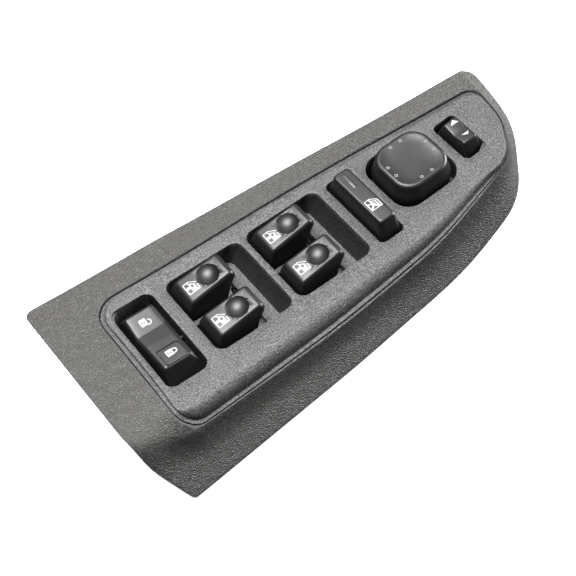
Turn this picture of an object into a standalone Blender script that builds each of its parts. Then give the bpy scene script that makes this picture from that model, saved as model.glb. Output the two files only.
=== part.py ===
"""Driver's door switch: a skirted trim bezel, a switch plate with seven keys, and the module below it.

The part is in metres with +Z up. +X runs along the door towards the mirror switch, +Y points to the
straight edge beside the door glass, and the origin lies on the flat underside of the module housing.
The top is gently dished along X, like an armrest: everything near it is first built flat and is then
lifted by that crown.
"""

import math

import bmesh
import bpy
from mathutils import Matrix, Vector

MM = 0.001

# Clearances
CLEAR = 0.3 * MM            # between pieces that seat on each other
KEY_GAP = 0.35 * MM         # between a key's side and the web beside it
PIN_CLEAR = 0.3 * MM        # radial, round a moulded pin in its bearing hole

# Heights above the underside of the housing
TOP = 38.0 * MM             # plate surface at the middle of the crown
CROWN_RADIUS = 1196.0 * MM  # dish of the whole top along X
CROWN_X = 0.0 * MM          # where the dish is lowest
WALL_FOOT = 25.5 * MM       # lower edge of the plate's well walls
LIFT_FOOT = 18.5 * MM       # below here nothing follows the crown
LIFT_FULL = 22.0 * MM       # from here up everything follows it
CROWN_PITCH = 30.0 * MM     # spacing of the cuts that let flat faces bend
CUT_CLEAR = 0.03 * MM       # those cuts stay this far from existing corners
BOARD_TOP = 12.0 * MM
SKIRT_FOOT = 14.0 * MM      # lower edge of the bezel's skirt on the near side

# Plate
PLATE_LEFT = -91.8 * MM
PLATE_FAR = 33.2 * MM
PLATE_NEAR = -40.9 * MM
PLATE_WALL = 2.2 * MM
FLANGE_WIDTH = 1.9 * MM
FLANGE_SINK = 0.5 * MM      # flange below the bezel's lip
PLATE_GAP = 0.5 * MM        # visible joint between bezel and plate
STEP_UP = 1.0 * MM          # plate surface above its flange on the far side
WELL_WALL = 1.4 * MM

# Row of wells, from the lock rocker to the mirror selector
LEFT_MARGIN = 4.9 * MM
LOCK_WIDTH = 21.1 * MM
LOCK_LENGTH = 47.8 * MM
LOCK_Y = 1.4 * MM
BRIDGE_LOCK = 6.0 * MM
WINDOW_WIDTH = 40.0 * MM
WINDOW_LENGTH = 43.6 * MM
WINDOW_Y = 1.8 * MM
BRIDGE_PAIRS = 3.1 * MM
BRIDGE_BAR = 4.6 * MM
BAR_WIDTH = 13.5 * MM
BAR_LENGTH = 42.0 * MM
BAR_Y = 0.9 * MM
BRIDGE_PAD = 4.9 * MM
PAD_WELL = 34.6 * MM
PAD_Y = 3.0 * MM
BRIDGE_SELECTOR = 4.6 * MM
SELECTOR_WIDTH = 12.6 * MM
SELECTOR_LENGTH = 24.8 * MM
SELECTOR_Y = 2.2 * MM
NOSE_MARGIN = 18.2 * MM
WELL_CORNER = 4.5 * MM
PAD_WELL_CORNER = 9.0 * MM
SELECTOR_CORNER = 2.6 * MM

# Finger recess at the mirror end of each window well
RECESS_DEPTH = 10.0 * MM
RECESS_SLOPE = 5.6 * MM     # how far its sloping wall runs in from the rim
RECESS_RIM = 0.5 * MM       # short upright edge above that wall
LEDGE_WIDTH = 6.4 * MM      # level floor at the foot of that wall
WEB_THICK = 2.4 * MM        # bearing web between the two keys of a pair
WEB_TOP = 5.5 * MM          # below the plate surface
WEB_RAISE = 0.5 * MM        # web's lower edge above the foot of the well walls
RIM_RAISE = 0.2 * MM        # and that of the wall that meets the housing

# Window keys
KEY_PIVOT_X = 10.8 * MM     # from the well's left wall
KEY_PIVOT_DEPTH = 8.7 * MM  # below the plate surface
KEY_END = 1.4 * MM          # from the well's left wall to the key
KEY_TOP_HALF = 7.3 * MM     # half width at the finger surface
KEY_LOW_HALF = 9.35 * MM    # half width at the pivot
KEY_HEIGHT_LOW = 3.7 * MM   # finger surface above the plate at the left end
KEY_HEIGHT_NOSE = 7.2 * MM
KEY_STEM = 19.8 * MM        # right side of the stem, from the well's left wall
KEY_LIP = 27.8 * MM         # tip of the finger lip, from the well's left wall
KEY_WALL = 1.8 * MM
DIMPLE_X = 17.4 * MM
DIMPLE_DIAMETER = 11.0 * MM
DIMPLE_DEPTH = 1.9 * MM
PIN_RADIUS = 1.2 * MM
PIN_SEAT = 1.05 * MM        # how far a pin reaches into its bearing
FOOT_SIZE = 2.8 * MM
KEY_EDGE = 1.1 * MM         # rounding along a key's edges
KEY_BASE = 12.2 * MM        # lower edge of a window key, below the plate surface

# Lock rocker
ROCKER_PIVOT_DEPTH = 8.7 * MM
ROCKER_BASE = 10.4 * MM     # lower edge of both rockers: clear of the housing at full tilt
LOCK_TOP_HALF = 7.3 * MM
LOCK_LOW_HALF = 9.8 * MM
LOCK_TOP_LENGTH = 31.6 * MM
LOCK_END_GAP = 2.6 * MM
LOCK_HEIGHT = 2.8 * MM
LOCK_VALLEY = 0.5 * MM
LOCK_FOOT_Y = 9.0 * MM
LOCK_PAD_SIZE = 8.6 * MM
GROOVE_WIDTH = 0.7 * MM
GROOVE_DEPTH = 0.5 * MM

# Lock-out button
BAR_TOP_WIDTH = 8.0 * MM
BAR_TOP_LENGTH = 33.0 * MM
BAR_HEIGHT = 9.0 * MM
BAR_RIM_WIDTH = 11.4 * MM
BAR_RIM_LENGTH = 39.4 * MM
LENS_WIDTH = 1.5 * MM
LENS_LENGTH = 9.0 * MM
LENS_Y = 10.0 * MM          # from the button's middle towards the far edge
BAR_TRAVEL = 2.5 * MM
PLUNGER_TOP = 22.0 * MM
PLUNGER_Y = -4.0 * MM       # from the button's middle
SWITCH_TOP = 19.2 * MM
LED_TOP = BOARD_TOP + 2.2 * MM

# Mirror pad and its gimbal
PAD_TOP_HALF = 13.0 * MM
PAD_LOW_HALF = 15.0 * MM     # at the rim, which stays above the plate when the pad tilts
PAD_RIM = 2.2 * MM          # the rim's height above the plate surface
PAD_NECK_HALF = 13.3 * MM    # the skirt that reaches down into the well
PAD_HEIGHT = 8.0 * MM
PAD_DISH = 0.7 * MM
PAD_SKIRT = 1.0 * MM        # below the plate surface
PAD_CORNER = 9.2 * MM
PAD_WALL = 1.6 * MM
GIMBAL_DEPTH = 11.0 * MM
GIMBAL_OUTER = 8.8 * MM
GIMBAL_INNER = 5.4 * MM
GIMBAL_HEIGHT = 4.0 * MM
PAD_FOOT_OFFSET = 9.8 * MM
PAD_FOOT_RADIUS = 1.4 * MM
PAD_FOOT_HOLE = 3.2 * MM    # hole in the carrier for a foot
PAD_BOSS_RADIUS = 2.9 * MM
CARRIER_HALF = 18.6 * MM
CARRIER_THICK = 2.0 * MM
CARRIER_SCREW = 16.4 * MM
CARRIER_BOSS_RADIUS = 2.4 * MM
CARRIER_BOSS_RAISE = 0.1 * MM   # carrier bosses' ends above the foot of the well walls
CARRIER_THREAD = 7.0 * MM   # depth of the carrier screws' holes in their bosses
CARRIER_EAR = GIMBAL_OUTER + 0.7 * MM
EAR_THICK = 1.9 * MM
EAR_HALF = 2.8 * MM

# Mirror selector
SELECTOR_TOP_WIDTH = 7.6 * MM
SELECTOR_TOP_LENGTH = 14.6 * MM
SELECTOR_HEIGHT = 5.0 * MM
SELECTOR_DIP = 1.1 * MM
SELECTOR_SIDE_GAP = 0.6 * MM
SELECTOR_FOOT_Y = 5.6 * MM

# Housing, board and mat
HOUSING_WALL = 2.0 * MM
HOUSING_FLOOR = 2.2 * MM
BOARD_THICK = 1.6 * MM
BOARD_INSET = 1.0 * MM
BOARD_HOLE_CLEAR = 0.9 * MM
MAT_THICK = 1.0 * MM
DOME_HEIGHT = 3.2 * MM
DOME_BASE = 3.0 * MM
DOME_TIP = 1.9 * MM
SCREW_SHANK = 1.3 * MM
SCREW_HEAD = 2.7 * MM
SCREW_HEAD_HEIGHT = 2.0 * MM
COLUMN_RADIUS = 4.2 * MM
BOSS_RADIUS = 3.2 * MM
BOSS_FOOT = 18.0 * MM       # lower end of the plate's long bosses
POST_RADIUS = 2.0 * MM
COUNTERBORE = 8.0 * MM      # depth of the screw wells in the housing's underside

# Connectors on the underside
HEADER_LENGTHS = (42.0 * MM, 26.0 * MM)
HEADER_X = (-52.0 * MM, 62.0 * MM)
HEADER_Y = 3.0 * MM
HEADER_WIDTH = 13.0 * MM
HEADER_WALL = 1.4 * MM
HEADER_CAVITY = 7.4 * MM
HEADER_PIN = 3.0 * MM       # free length of a contact pin
PIN_PITCH = 3.2 * MM

# Bezel
BEZEL_LEFT = -115.6 * MM
BEZEL_WALL = 2.4 * MM
LIP_ROUND = 0.9 * MM        # rounding of the lip beside the joint
LEDGE_DROP = 2.9 * MM       # ledge under the plate's flange, below the lip
LEDGE_THICK = 2.2 * MM
LEDGE_REACH = 2.6 * MM
FOLD_LIMITS = (0.32, 0.85)  # least and most share of a station's width that may lie inside the fold
TOWER_WIDTH = 12.0 * MM
TOWER_THICK = 2.0 * MM
TOWER_FOOT = 22.0 * MM
CLIP_SHEET = 0.6 * MM
CLIP_WIDTH = 8.0 * MM
CLIP_SPREAD = 2.4 * MM
TAB_THICK = 2.0 * MM
RIB_THICK = 1.6 * MM

# The skirt's section outside the lip: share of the way to the foot, and share of the fall there.
# The second table is the softer section of the left end, which has no lip.
SKIRT_SECTION = ((0.0, 0.0), (0.05, 0.03), (0.10, 0.10), (0.17, 0.24), (0.26, 0.39), (0.40, 0.56),
                 (0.60, 0.72), (0.80, 0.865), (1.0, 1.0))
END_SECTION = ((0.0, 0.0), (0.05, 0.015), (0.10, 0.055), (0.17, 0.135), (0.26, 0.28), (0.40, 0.475),
               (0.60, 0.665), (0.80, 0.84), (1.0, 1.0))
LIP_DROP = 6.0 * MM         # fall of the lip below the plate at the near left corner
LIP_FADE = 0.8              # share of that fall that is lost at the nose
LIP_FADE_POWER = 2.6
ROLL_WIDTH = 8.5 * MM       # strip inside the lip over which the top rolls down to it
END_BLEND = 20.0 * MM       # strip beyond the plate where the left end's section takes over

# Row positions that follow from the sizes above
LOCK_LEFT = PLATE_LEFT + LEFT_MARGIN
REAR_LEFT = LOCK_LEFT + LOCK_WIDTH + BRIDGE_LOCK
FRONT_LEFT = REAR_LEFT + WINDOW_WIDTH + BRIDGE_PAIRS
BAR_LEFT = FRONT_LEFT + WINDOW_WIDTH + BRIDGE_BAR
PAD_LEFT = BAR_LEFT + BAR_WIDTH + BRIDGE_PAD
SELECTOR_LEFT = PAD_LEFT + PAD_WELL + BRIDGE_SELECTOR
NOSE = SELECTOR_LEFT + SELECTOR_WIDTH + NOSE_MARGIN
LOCK_X = LOCK_LEFT + LOCK_WIDTH / 2
BAR_X = BAR_LEFT + BAR_WIDTH / 2
PAD_X = PAD_LEFT + PAD_WELL / 2
SELECTOR_X = SELECTOR_LEFT + SELECTOR_WIDTH / 2
KEY_OFFSET = KEY_LOW_HALF + KEY_GAP + WEB_THICK / 2
FOOT_TIP = BOARD_TOP + CLEAR + MAT_THICK + DOME_HEIGHT + CLEAR
LEDGE_LEFT = WINDOW_WIDTH - RECESS_SLOPE - LEDGE_WIDTH

# Corners of the plate's outer edge (x, y, radius), from the far left corner anticlockwise
PLATE_CORNERS = (
    (PLATE_LEFT, PLATE_FAR, 12.0 * MM),
    (PLATE_LEFT, PLATE_NEAR, 9.0 * MM),
    (FRONT_LEFT + 7.0 * MM, PLATE_NEAR + 3.3 * MM, 600.0 * MM),
    (PAD_LEFT + 4.0 * MM, PLATE_NEAR + 7.9 * MM, 200.0 * MM),
    (NOSE - 12.4 * MM, PLATE_NEAR + 20.4 * MM, 25.0 * MM),
    (NOSE - 2.8 * MM, PLATE_FAR - 34.7 * MM, 30.0 * MM),
    (NOSE, PLATE_FAR - 12.8 * MM, 7.0 * MM),
    (BAR_LEFT, PLATE_FAR - 1.6 * MM, 1000.0 * MM),
)

# Corners of the bezel's outer edge in plan, in the same order
BEZEL_CORNERS = (
    (BEZEL_LEFT, PLATE_FAR + 14.6 * MM, 4.0 * MM),
    (BEZEL_LEFT + 1.2 * MM, PLATE_NEAR + 3.5 * MM, 30.0 * MM),
    (BEZEL_LEFT + 13.6 * MM, PLATE_NEAR - 15.3 * MM, 2.5 * MM),
    (FRONT_LEFT + 7.0 * MM, PLATE_NEAR - 8.4 * MM, 800.0 * MM),
    (PAD_LEFT + 4.0 * MM, PLATE_NEAR - 1.9 * MM, 250.0 * MM),
    (NOSE - 16.4 * MM, PLATE_NEAR + 8.7 * MM, 30.0 * MM),
    (NOSE + 3.4 * MM, PLATE_FAR - 38.0 * MM, 40.0 * MM),
    (NOSE + 6.5 * MM, PLATE_FAR - 2.2 * MM, 6.0 * MM),
    (FRONT_LEFT + 37.0 * MM, PLATE_FAR + 9.5 * MM, 900.0 * MM),
    (REAR_LEFT + 10.0 * MM, PLATE_FAR + 13.8 * MM, 500.0 * MM),
)

# Line of the lip on the near side, and beyond the plate at both ends, as corners (x, y, radius)
LIP_CORNERS = (
    (BEZEL_LEFT - 40.0 * MM, PLATE_NEAR + 8.4 * MM, 0.0),
    (BEZEL_LEFT + 4.0 * MM, PLATE_NEAR + 8.4 * MM, 60.0 * MM),
    (PLATE_LEFT + 3.0 * MM, PLATE_NEAR + 0.2 * MM, 20.0 * MM),
    (FRONT_LEFT + 7.0 * MM, PLATE_NEAR + 3.3 * MM, 600.0 * MM),
    (PAD_LEFT + 4.0 * MM, PLATE_NEAR + 7.9 * MM, 200.0 * MM),
    (NOSE - 12.4 * MM, PLATE_NEAR + 20.4 * MM, 25.0 * MM),
    (NOSE - 2.8 * MM, PLATE_FAR - 34.7 * MM, 30.0 * MM),
    (NOSE, PLATE_FAR - 12.8 * MM, 20.0 * MM),
    (NOSE + 3.0 * MM, PLATE_FAR + 10.0 * MM, 0.0),
)

# Corners of the housing's outer wall
HOUSING_CORNERS = (
    (LOCK_LEFT - WELL_WALL, PLATE_FAR - 5.0 * MM, 9.0 * MM),
    (LOCK_LEFT - WELL_WALL, PLATE_NEAR + 12.4 * MM, 3.0 * MM),
    (PAD_LEFT - 1.5 * MM, PLATE_NEAR + 15.9 * MM, 60.0 * MM),
    (SELECTOR_LEFT - 0.8 * MM, PLATE_NEAR + 24.2 * MM, 20.0 * MM),
    (NOSE - 7.6 * MM, PLATE_FAR - 36.4 * MM, 8.0 * MM),
    (NOSE - 7.6 * MM, PLATE_FAR - 18.0 * MM, 4.0 * MM),
    (FRONT_LEFT + 47.0 * MM, PLATE_FAR - 6.4 * MM, 80.0 * MM),
)

# Screws that hold the housing to the plate: two under each finger recess, and two at the nose end
CASE_SCREWS = (
    (REAR_LEFT + LEDGE_LEFT + 6.0 * MM, WINDOW_Y - 14.0 * MM),
    (REAR_LEFT + LEDGE_LEFT + 6.0 * MM, WINDOW_Y + 14.0 * MM),
    (FRONT_LEFT + LEDGE_LEFT + 6.0 * MM, WINDOW_Y - 14.0 * MM),
    (FRONT_LEFT + LEDGE_LEFT + 6.0 * MM, WINDOW_Y + 14.0 * MM),
    (PAD_LEFT + 4.0 * MM, PAD_Y - PAD_WELL / 2 - 4.1 * MM),
    (SELECTOR_LEFT + SELECTOR_WIDTH + 3.5 * MM, SELECTOR_Y + 2.4 * MM),
)

# Screws that hold the plate to the bezel, along the near side
TAB_SCREWS_X = (REAR_LEFT, FRONT_LEFT + 12.0 * MM, BAR_LEFT + 13.0 * MM)
TAB_SCREW_INSET = 5.8 * MM  # from the plate's edge
TAB_REACH = 8.1 * MM
TAB_HALF = 4.5 * MM
TAB_TOP = 27.6 * MM         # top of the bezel's screw tabs
TAB_BOSS_RADIUS = 2.3 * MM
TAB_BOSS_RISE = 4.0 * MM    # boss top above the plate's flange
TAB_SHANK = 1.0 * MM
TAB_HEAD = 2.1 * MM
TAB_THREAD = 5.0 * MM

# Clip towers (x, y, turned) under the flat left area and the far strip
TOWERS = (
    (BEZEL_LEFT + 11.5 * MM, PLATE_FAR - 5.0 * MM, True),
    (BEZEL_LEFT + 11.5 * MM, PLATE_FAR - 48.0 * MM, True),
    (REAR_LEFT + 30.0 * MM, PLATE_FAR + 6.6 * MM, False),
    (PAD_LEFT + 24.0 * MM, PLATE_FAR - 0.6 * MM, False),
)
RIBS_X = (REAR_LEFT - 18.0 * MM, REAR_LEFT + 28.0 * MM, FRONT_LEFT + 40.0 * MM, BAR_LEFT + 30.0 * MM)

ARC_STEPS = 4               # segments of a rounded corner
STATION_COUNTS = (11, 31, 17)   # stations of the bezel and rim: left end, near side, nose and far side
SCREW_SIDES = 10
THREAD_SIDES = 8
BOSS_SIDES = 10
PIN_SIDES = 10
DOME_SIDES = 6


class Collections:
    """The two collections that the script fills."""

    parts = None
    cutters = None


def start():
    """Empty the scene and make the two collections."""
    for item in list(bpy.data.objects):
        bpy.data.objects.remove(item, do_unlink=True)
    scene = bpy.context.scene.collection
    Collections.parts = bpy.data.collections.new("power_window_switch")
    Collections.cutters = bpy.data.collections.new("cutters")
    scene.children.link(Collections.parts)
    scene.children.link(Collections.cutters)


def material(name, colour, roughness, metallic=0.0):
    """A plain Principled material."""
    made = bpy.data.materials.new(name)
    made.use_nodes = True
    shader = made.node_tree.nodes["Principled BSDF"]
    shader.inputs["Base Color"].default_value = (*colour, 1.0)
    shader.inputs["Roughness"].default_value = roughness
    shader.inputs["Metallic"].default_value = metallic
    return made


# Plan geometry

def crown(x):
    """Height of the dish at x above its lowest line."""
    return (x - CROWN_X) ** 2 / (2 * CROWN_RADIUS)


def rounded(corners, steps=ARC_STEPS, closed=True):
    """Points of an outline whose corners (a, b, radius) are rounded by arcs."""
    points = []
    count = len(corners)
    for index, (a, b, radius) in enumerate(corners):
        here = Vector((a, b))
        if radius <= 0 or (not closed and index in (0, count - 1)):
            points.append(here)
            continue
        before = Vector(corners[index - 1][:2])
        after = Vector(corners[(index + 1) % count][:2])
        back, ahead = (before - here).normalized(), (after - here).normalized()
        half = back.angle(ahead) / 2
        reach = min(radius / math.tan(half), 0.49 * (before - here).length, 0.49 * (after - here).length)
        true_radius = reach * math.tan(half)
        centre = here + (back + ahead).normalized() * (true_radius / math.sin(half))
        start_arm, end_arm = here + back * reach - centre, here + ahead * reach - centre
        sweep = start_arm.angle_signed(end_arm)
        for step in range(steps + 1):
            arm = start_arm.copy()
            arm.rotate(Matrix.Rotation(-sweep * step / steps, 2))
            points.append(centre + arm)
    return points


def resample(points, count):
    """The open line through points, as count equal or denser-ended steps, without its last point."""
    lengths = [0.0]
    for first, second in zip(points, points[1:]):
        lengths.append(lengths[-1] + (second - first).length)
    total = lengths[-1]
    result = []
    index = 0
    for step in range(count):
        share = step / count
        share -= 0.75 * math.sin(2 * math.pi * share) / (2 * math.pi)
        target = share * total
        while lengths[index + 1] < target:
            index += 1
        span = lengths[index + 1] - lengths[index]
        result.append(points[index].lerp(points[index + 1], (target - lengths[index]) / span))
    return result


def stations(corners, anchors, counts):
    """Matched stations round an outline: counts of steps between the middles of the anchor corners."""
    fine = 12
    points = rounded(corners, fine)
    marks = [corner * (fine + 1) + fine // 2 for corner in anchors]
    result = []
    for place, count in enumerate(counts):
        first = marks[place]
        last = marks[(place + 1) % len(marks)]
        if last <= first:
            stretch = points[first:] + points[:last + 1]
        else:
            stretch = points[first:last + 1]
        result += resample(stretch, count)
    return result


def nearest(line, point):
    """Signed distance from a line (positive on its right), and how far along it the foot lies."""
    best = None
    walked = 0.0
    for first, second in zip(line, line[1:]):
        run = second - first
        length = run.length
        share = max(0.0, min(1.0, (point - first).dot(run) / (length * length)))
        away = point - (first + run * share)
        if best is None or away.length < best[0]:
            side = run.x * away.y - run.y * away.x
            best = (away.length, -1.0 if side > 0 else 1.0, walked + share * length)
        walked += length
    return best[0] * best[1], best[2]


def smooth(value):
    """Ease from 0 to 1."""
    value = max(0.0, min(1.0, value))
    return value * value * (3 - 2 * value)


class Skirt:
    """The bezel's top surface: flat inside, rolling down to the lip, and falling outside it to the foot."""

    def __init__(self):
        """Lay out the lip line and the foot line."""
        self.lip = rounded(LIP_CORNERS, 6, closed=False)
        foot = list(BEZEL_CORNERS[2:8])
        foot[0] = (BEZEL_LEFT - 30.0 * MM, PLATE_NEAR - 18.4 * MM, 0.0)
        self.foot = rounded(foot, 6, closed=False)
        self.rise_from = nearest(self.foot, Vector((PAD_LEFT + 13.0 * MM, PLATE_NEAR)))[1]
        self.rise_to = nearest(self.foot, Vector(BEZEL_CORNERS[7][:2]))[1]

    def lip_drop(self, x):
        """Fall of the lip line below the crown at x."""
        along = max(0.0, min(1.0, (x - PLATE_LEFT) / (NOSE - PLATE_LEFT)))
        start_share = smooth((x - BEZEL_LEFT - 2.0 * MM) / (PLATE_LEFT - BEZEL_LEFT + 2.0 * MM))
        end_share = 1.0 - smooth((along - 0.96) / 0.06)
        return LIP_DROP * start_share * end_share * (1.0 - LIP_FADE * along ** LIP_FADE_POWER)

    def height(self, x, y):
        """Height of the surface at a plan position."""
        point = Vector((x, y))
        top = TOP + crown(x)
        drop = self.lip_drop(x)
        out, _ = nearest(self.lip, point)
        if out <= 0:
            return top - drop * max(0.0, 1.0 + out / ROLL_WIDTH) ** 2
        left, walked = nearest(self.foot, point)
        share = out / (out - left) if left < 0 else 1.0
        rise = smooth((walked - self.rise_from) / (self.rise_to - self.rise_from))
        edge = SKIRT_FOOT + (TOP + crown(NOSE) - 1.5 * MM - SKIRT_FOOT) * rise
        end = smooth((PLATE_LEFT - x) / END_BLEND)
        fall = section(SKIRT_SECTION, share) * (1.0 - end) + section(END_SECTION, share) * end
        return top - drop - max(top - drop - edge, 0.0) * fall

    def normal(self, x, y):
        """Unit normal of the surface."""
        step = 0.3 * MM
        across = (self.height(x + step, y) - self.height(x - step, y)) / (2 * step)
        along = (self.height(x, y + step) - self.height(x, y - step)) / (2 * step)
        return Vector((-across, -along, 1.0)).normalized()


def section(rows, share):
    """The skirt's fall at a share of its width, as a smooth line through a table's rows."""
    for index in range(len(rows) - 1):
        if share <= rows[index + 1][0]:
            break
    (x0, y0), (x1, y1) = rows[index], rows[index + 1]
    before = rows[max(index - 1, 0)]
    after = rows[min(index + 2, len(rows) - 1)]
    slope0 = (y1 - before[1]) / (x1 - before[0])
    slope1 = (after[1] - y0) / (after[0] - x0)
    width = x1 - x0
    t = (share - x0) / width
    return ((2 * t ** 3 - 3 * t ** 2 + 1) * y0 + (t ** 3 - 2 * t ** 2 + t) * width * slope0
            + (-2 * t ** 3 + 3 * t ** 2) * y1 + (t ** 3 - t ** 2) * width * slope1)


# Mesh helpers

def finish(mesh, name, target=None):
    """Wrap a bmesh as an object in a collection."""
    data = bpy.data.meshes.new(name)
    bmesh.ops.recalc_face_normals(mesh, faces=mesh.faces)
    mesh.to_mesh(data)
    mesh.free()
    made = bpy.data.objects.new(name, data)
    (target or Collections.parts).objects.link(made)
    return made


def as_cutter(item):
    """Hide a helper from the render and draw it as wire."""
    item.hide_render = True
    item.display_type = "WIRE"
    for owner in list(item.users_collection):
        owner.objects.unlink(item)
    Collections.cutters.objects.link(item)
    return item


def outline_solid(name, points, low, high, plane="XY"):
    """A flat outline drawn as a filled 2D curve, thickened from low to high across its plane."""
    curve = bpy.data.curves.new(name, "CURVE")
    curve.dimensions = "2D"
    curve.fill_mode = "BOTH"
    curve.extrude = (high - low) / 2
    spline = curve.splines.new("POLY")
    spline.points.add(len(points) - 1)
    for place, point in zip(spline.points, points):
        place.co = (point[0], point[1], 0.0, 1.0)
    spline.use_cyclic_u = True
    drawn = bpy.data.objects.new(name + "_curve", curve)
    Collections.parts.objects.link(drawn)
    bpy.context.view_layer.update()
    data = bpy.data.meshes.new_from_object(drawn.evaluated_get(bpy.context.evaluated_depsgraph_get()))
    bpy.data.objects.remove(drawn, do_unlink=True)
    middle = (low + high) / 2
    if plane == "XY":
        turn = Matrix.Translation((0, 0, middle))
    elif plane == "XZ":
        turn = Matrix.Translation((0, middle, 0)) @ Matrix.Rotation(math.pi / 2, 4, "X")
    else:
        turn = (Matrix.Translation((middle, 0, 0)) @ Matrix.Rotation(math.pi / 2, 4, "Z")
                @ Matrix.Rotation(math.pi / 2, 4, "X"))
    mesh = bmesh.new()
    mesh.from_mesh(data)
    bpy.data.meshes.remove(data)
    bmesh.ops.transform(mesh, matrix=turn, verts=mesh.verts)
    bmesh.ops.remove_doubles(mesh, verts=mesh.verts, dist=0.01 * MM)
    flat = math.radians(1.0)
    bmesh.ops.dissolve_limit(mesh, angle_limit=flat, verts=mesh.verts, edges=mesh.edges)
    return finish(mesh, name)


def block(name, low, high):
    """A box between two corners."""
    mesh = bmesh.new()
    bmesh.ops.create_cube(mesh, size=1.0)
    low, high = Vector(low), Vector(high)
    bmesh.ops.scale(mesh, vec=high - low, verts=mesh.verts)
    bmesh.ops.translate(mesh, vec=(low + high) / 2, verts=mesh.verts)
    return finish(mesh, name)


def rod(name, start_point, end_point, radius, tip=None, sides=16):
    """A round rod, or a cone where tip is the radius at its far end."""
    start_point, end_point = Vector(start_point), Vector(end_point)
    run = end_point - start_point
    mesh = bmesh.new()
    bmesh.ops.create_cone(mesh, cap_ends=True, segments=sides, radius1=radius,
                          radius2=radius if tip is None else tip, depth=run.length)
    turn = Vector((0, 0, 1)).rotation_difference(run).to_matrix().to_4x4()
    place = Matrix.Translation((start_point + end_point) / 2) @ turn
    bmesh.ops.transform(mesh, matrix=place, verts=mesh.verts)
    return finish(mesh, name)


def rounded_rectangle(x, y, width, length, radius):
    """Corners of a rounded rectangle centred at x, y."""
    a, b = width / 2, length / 2
    return [(x - a, y + b, radius), (x - a, y - b, radius), (x + a, y - b, radius), (x + a, y + b, radius)]


def loft(name, rings):
    """A closed tube through rings of equal length; the first and last ring are joined by faces."""
    mesh = bmesh.new()
    rows = [[mesh.verts.new(point) for point in ring] for ring in rings]
    for lower, upper in zip(rows, rows[1:]):
        for index in range(len(lower)):
            follow = (index + 1) % len(lower)
            mesh.faces.new((lower[index], lower[follow], upper[follow], upper[index]))
    mesh.faces.new(rows[0])
    mesh.faces.new(rows[-1])
    return finish(mesh, name)


def ring_loft(name, sections):
    """A closed ring through sections that are loops, each joined to the next and the last to the first."""
    mesh = bmesh.new()
    rows = [[mesh.verts.new(point) for point in loop] for loop in sections]
    for place, here in enumerate(rows):
        there = rows[(place + 1) % len(rows)]
        for index in range(len(here)):
            follow = (index + 1) % len(here)
            mesh.faces.new((here[index], here[follow], there[follow], there[index]))
    return finish(mesh, name)


def combine(target, tool, operation):
    """Add an exact Boolean of the tool to the target."""
    step = target.modifiers.new(operation.lower() + "_" + tool.name, "BOOLEAN")
    step.operation = operation
    step.solver = "EXACT"
    step.object = as_cutter(tool)


def cut(target, *tools):
    """Cut the tools out of the target."""
    for tool in tools:
        combine(target, tool, "DIFFERENCE")


def join(target, *tools):
    """Join the tools to the target."""
    for tool in tools:
        combine(target, tool, "UNION")


def bake(item):
    """Apply an object's modifiers, and weld and dissolve what they leave."""
    bpy.context.view_layer.update()
    data = bpy.data.meshes.new_from_object(item.evaluated_get(bpy.context.evaluated_depsgraph_get()))
    item.modifiers.clear()
    mesh = bmesh.new()
    mesh.from_mesh(data)
    bpy.data.meshes.remove(data)
    bmesh.ops.remove_doubles(mesh, verts=mesh.verts, dist=0.005 * MM)
    bmesh.ops.dissolve_degenerate(mesh, edges=mesh.edges, dist=0.005 * MM)
    slits = [edge for edge in mesh.edges if len(edge.link_faces) == 1]
    bmesh.ops.holes_fill(mesh, edges=slits, sides=8)
    mesh.to_mesh(item.data)
    mesh.free()


def free_place(xs, place):
    """The first place along X, from a wanted one on, with none of the corners xs close by."""
    while any(abs(x - place) < CUT_CLEAR for x in xs):
        place += CUT_CLEAR
    return place


def follow_crown(item):
    """Cut a baked object into strips along X and lift them onto the crown."""
    bake(item)
    mesh = bmesh.new()
    mesh.from_mesh(item.data)
    xs = [vertex.co.x for vertex in mesh.verts]
    first = math.ceil(min(xs) / CROWN_PITCH)
    for index in range(first, math.floor(max(xs) / CROWN_PITCH) + 1):
        everything = mesh.verts[:] + mesh.edges[:] + mesh.faces[:]
        place = free_place(xs, index * CROWN_PITCH)
        bmesh.ops.bisect_plane(mesh, geom=everything, dist=0.002 * MM, plane_co=(place, 0, 0),
                               plane_no=(1, 0, 0))
    for vertex in mesh.verts:
        share = (vertex.co.z - LIFT_FOOT) / (LIFT_FULL - LIFT_FOOT)
        vertex.co.z += crown(vertex.co.x) * max(0.0, min(1.0, share))
    mesh.to_mesh(item.data)
    mesh.free()


def dress(item, finish_material, angle=35.0):
    """Give an object its material and smooth shading up to an angle."""
    item.data.materials.clear()
    item.data.materials.append(finish_material)
    item.data.shade_smooth()
    item.data.set_sharp_from_angle(angle=math.radians(angle))
    return item


def set_origin(item, point):
    """Move an object's origin to a point that is given before the lift, leaving its shape in place."""
    point = Vector(point)
    point.z += crown(point.x)
    item.data.transform(Matrix.Translation(-point))
    item.location = point


def round_edges(item, width, steps, wanted):
    """Round the edges that wanted(edge) picks."""
    mesh = bmesh.new()
    mesh.from_mesh(item.data)
    edges = [edge for edge in mesh.edges if wanted(edge)]
    bmesh.ops.bevel(mesh, geom=edges, offset=width, segments=steps, profile=0.5, affect="EDGES",
                    clamp_overlap=True)
    mesh.to_mesh(item.data)
    mesh.free()


def side_edges(axis, above):
    """A test for the sharp edges between a profile's end faces and its rim, above a height."""
    def wanted(edge):
        """Is this one of them."""
        if len(edge.link_faces) != 2 or edge.calc_face_angle() < math.radians(50):
            return False
        ends = [abs(face.normal[axis]) > 0.8 for face in edge.link_faces]
        return ends[0] != ends[1] and min(vertex.co.z for vertex in edge.verts) > above
    return wanted


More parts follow.
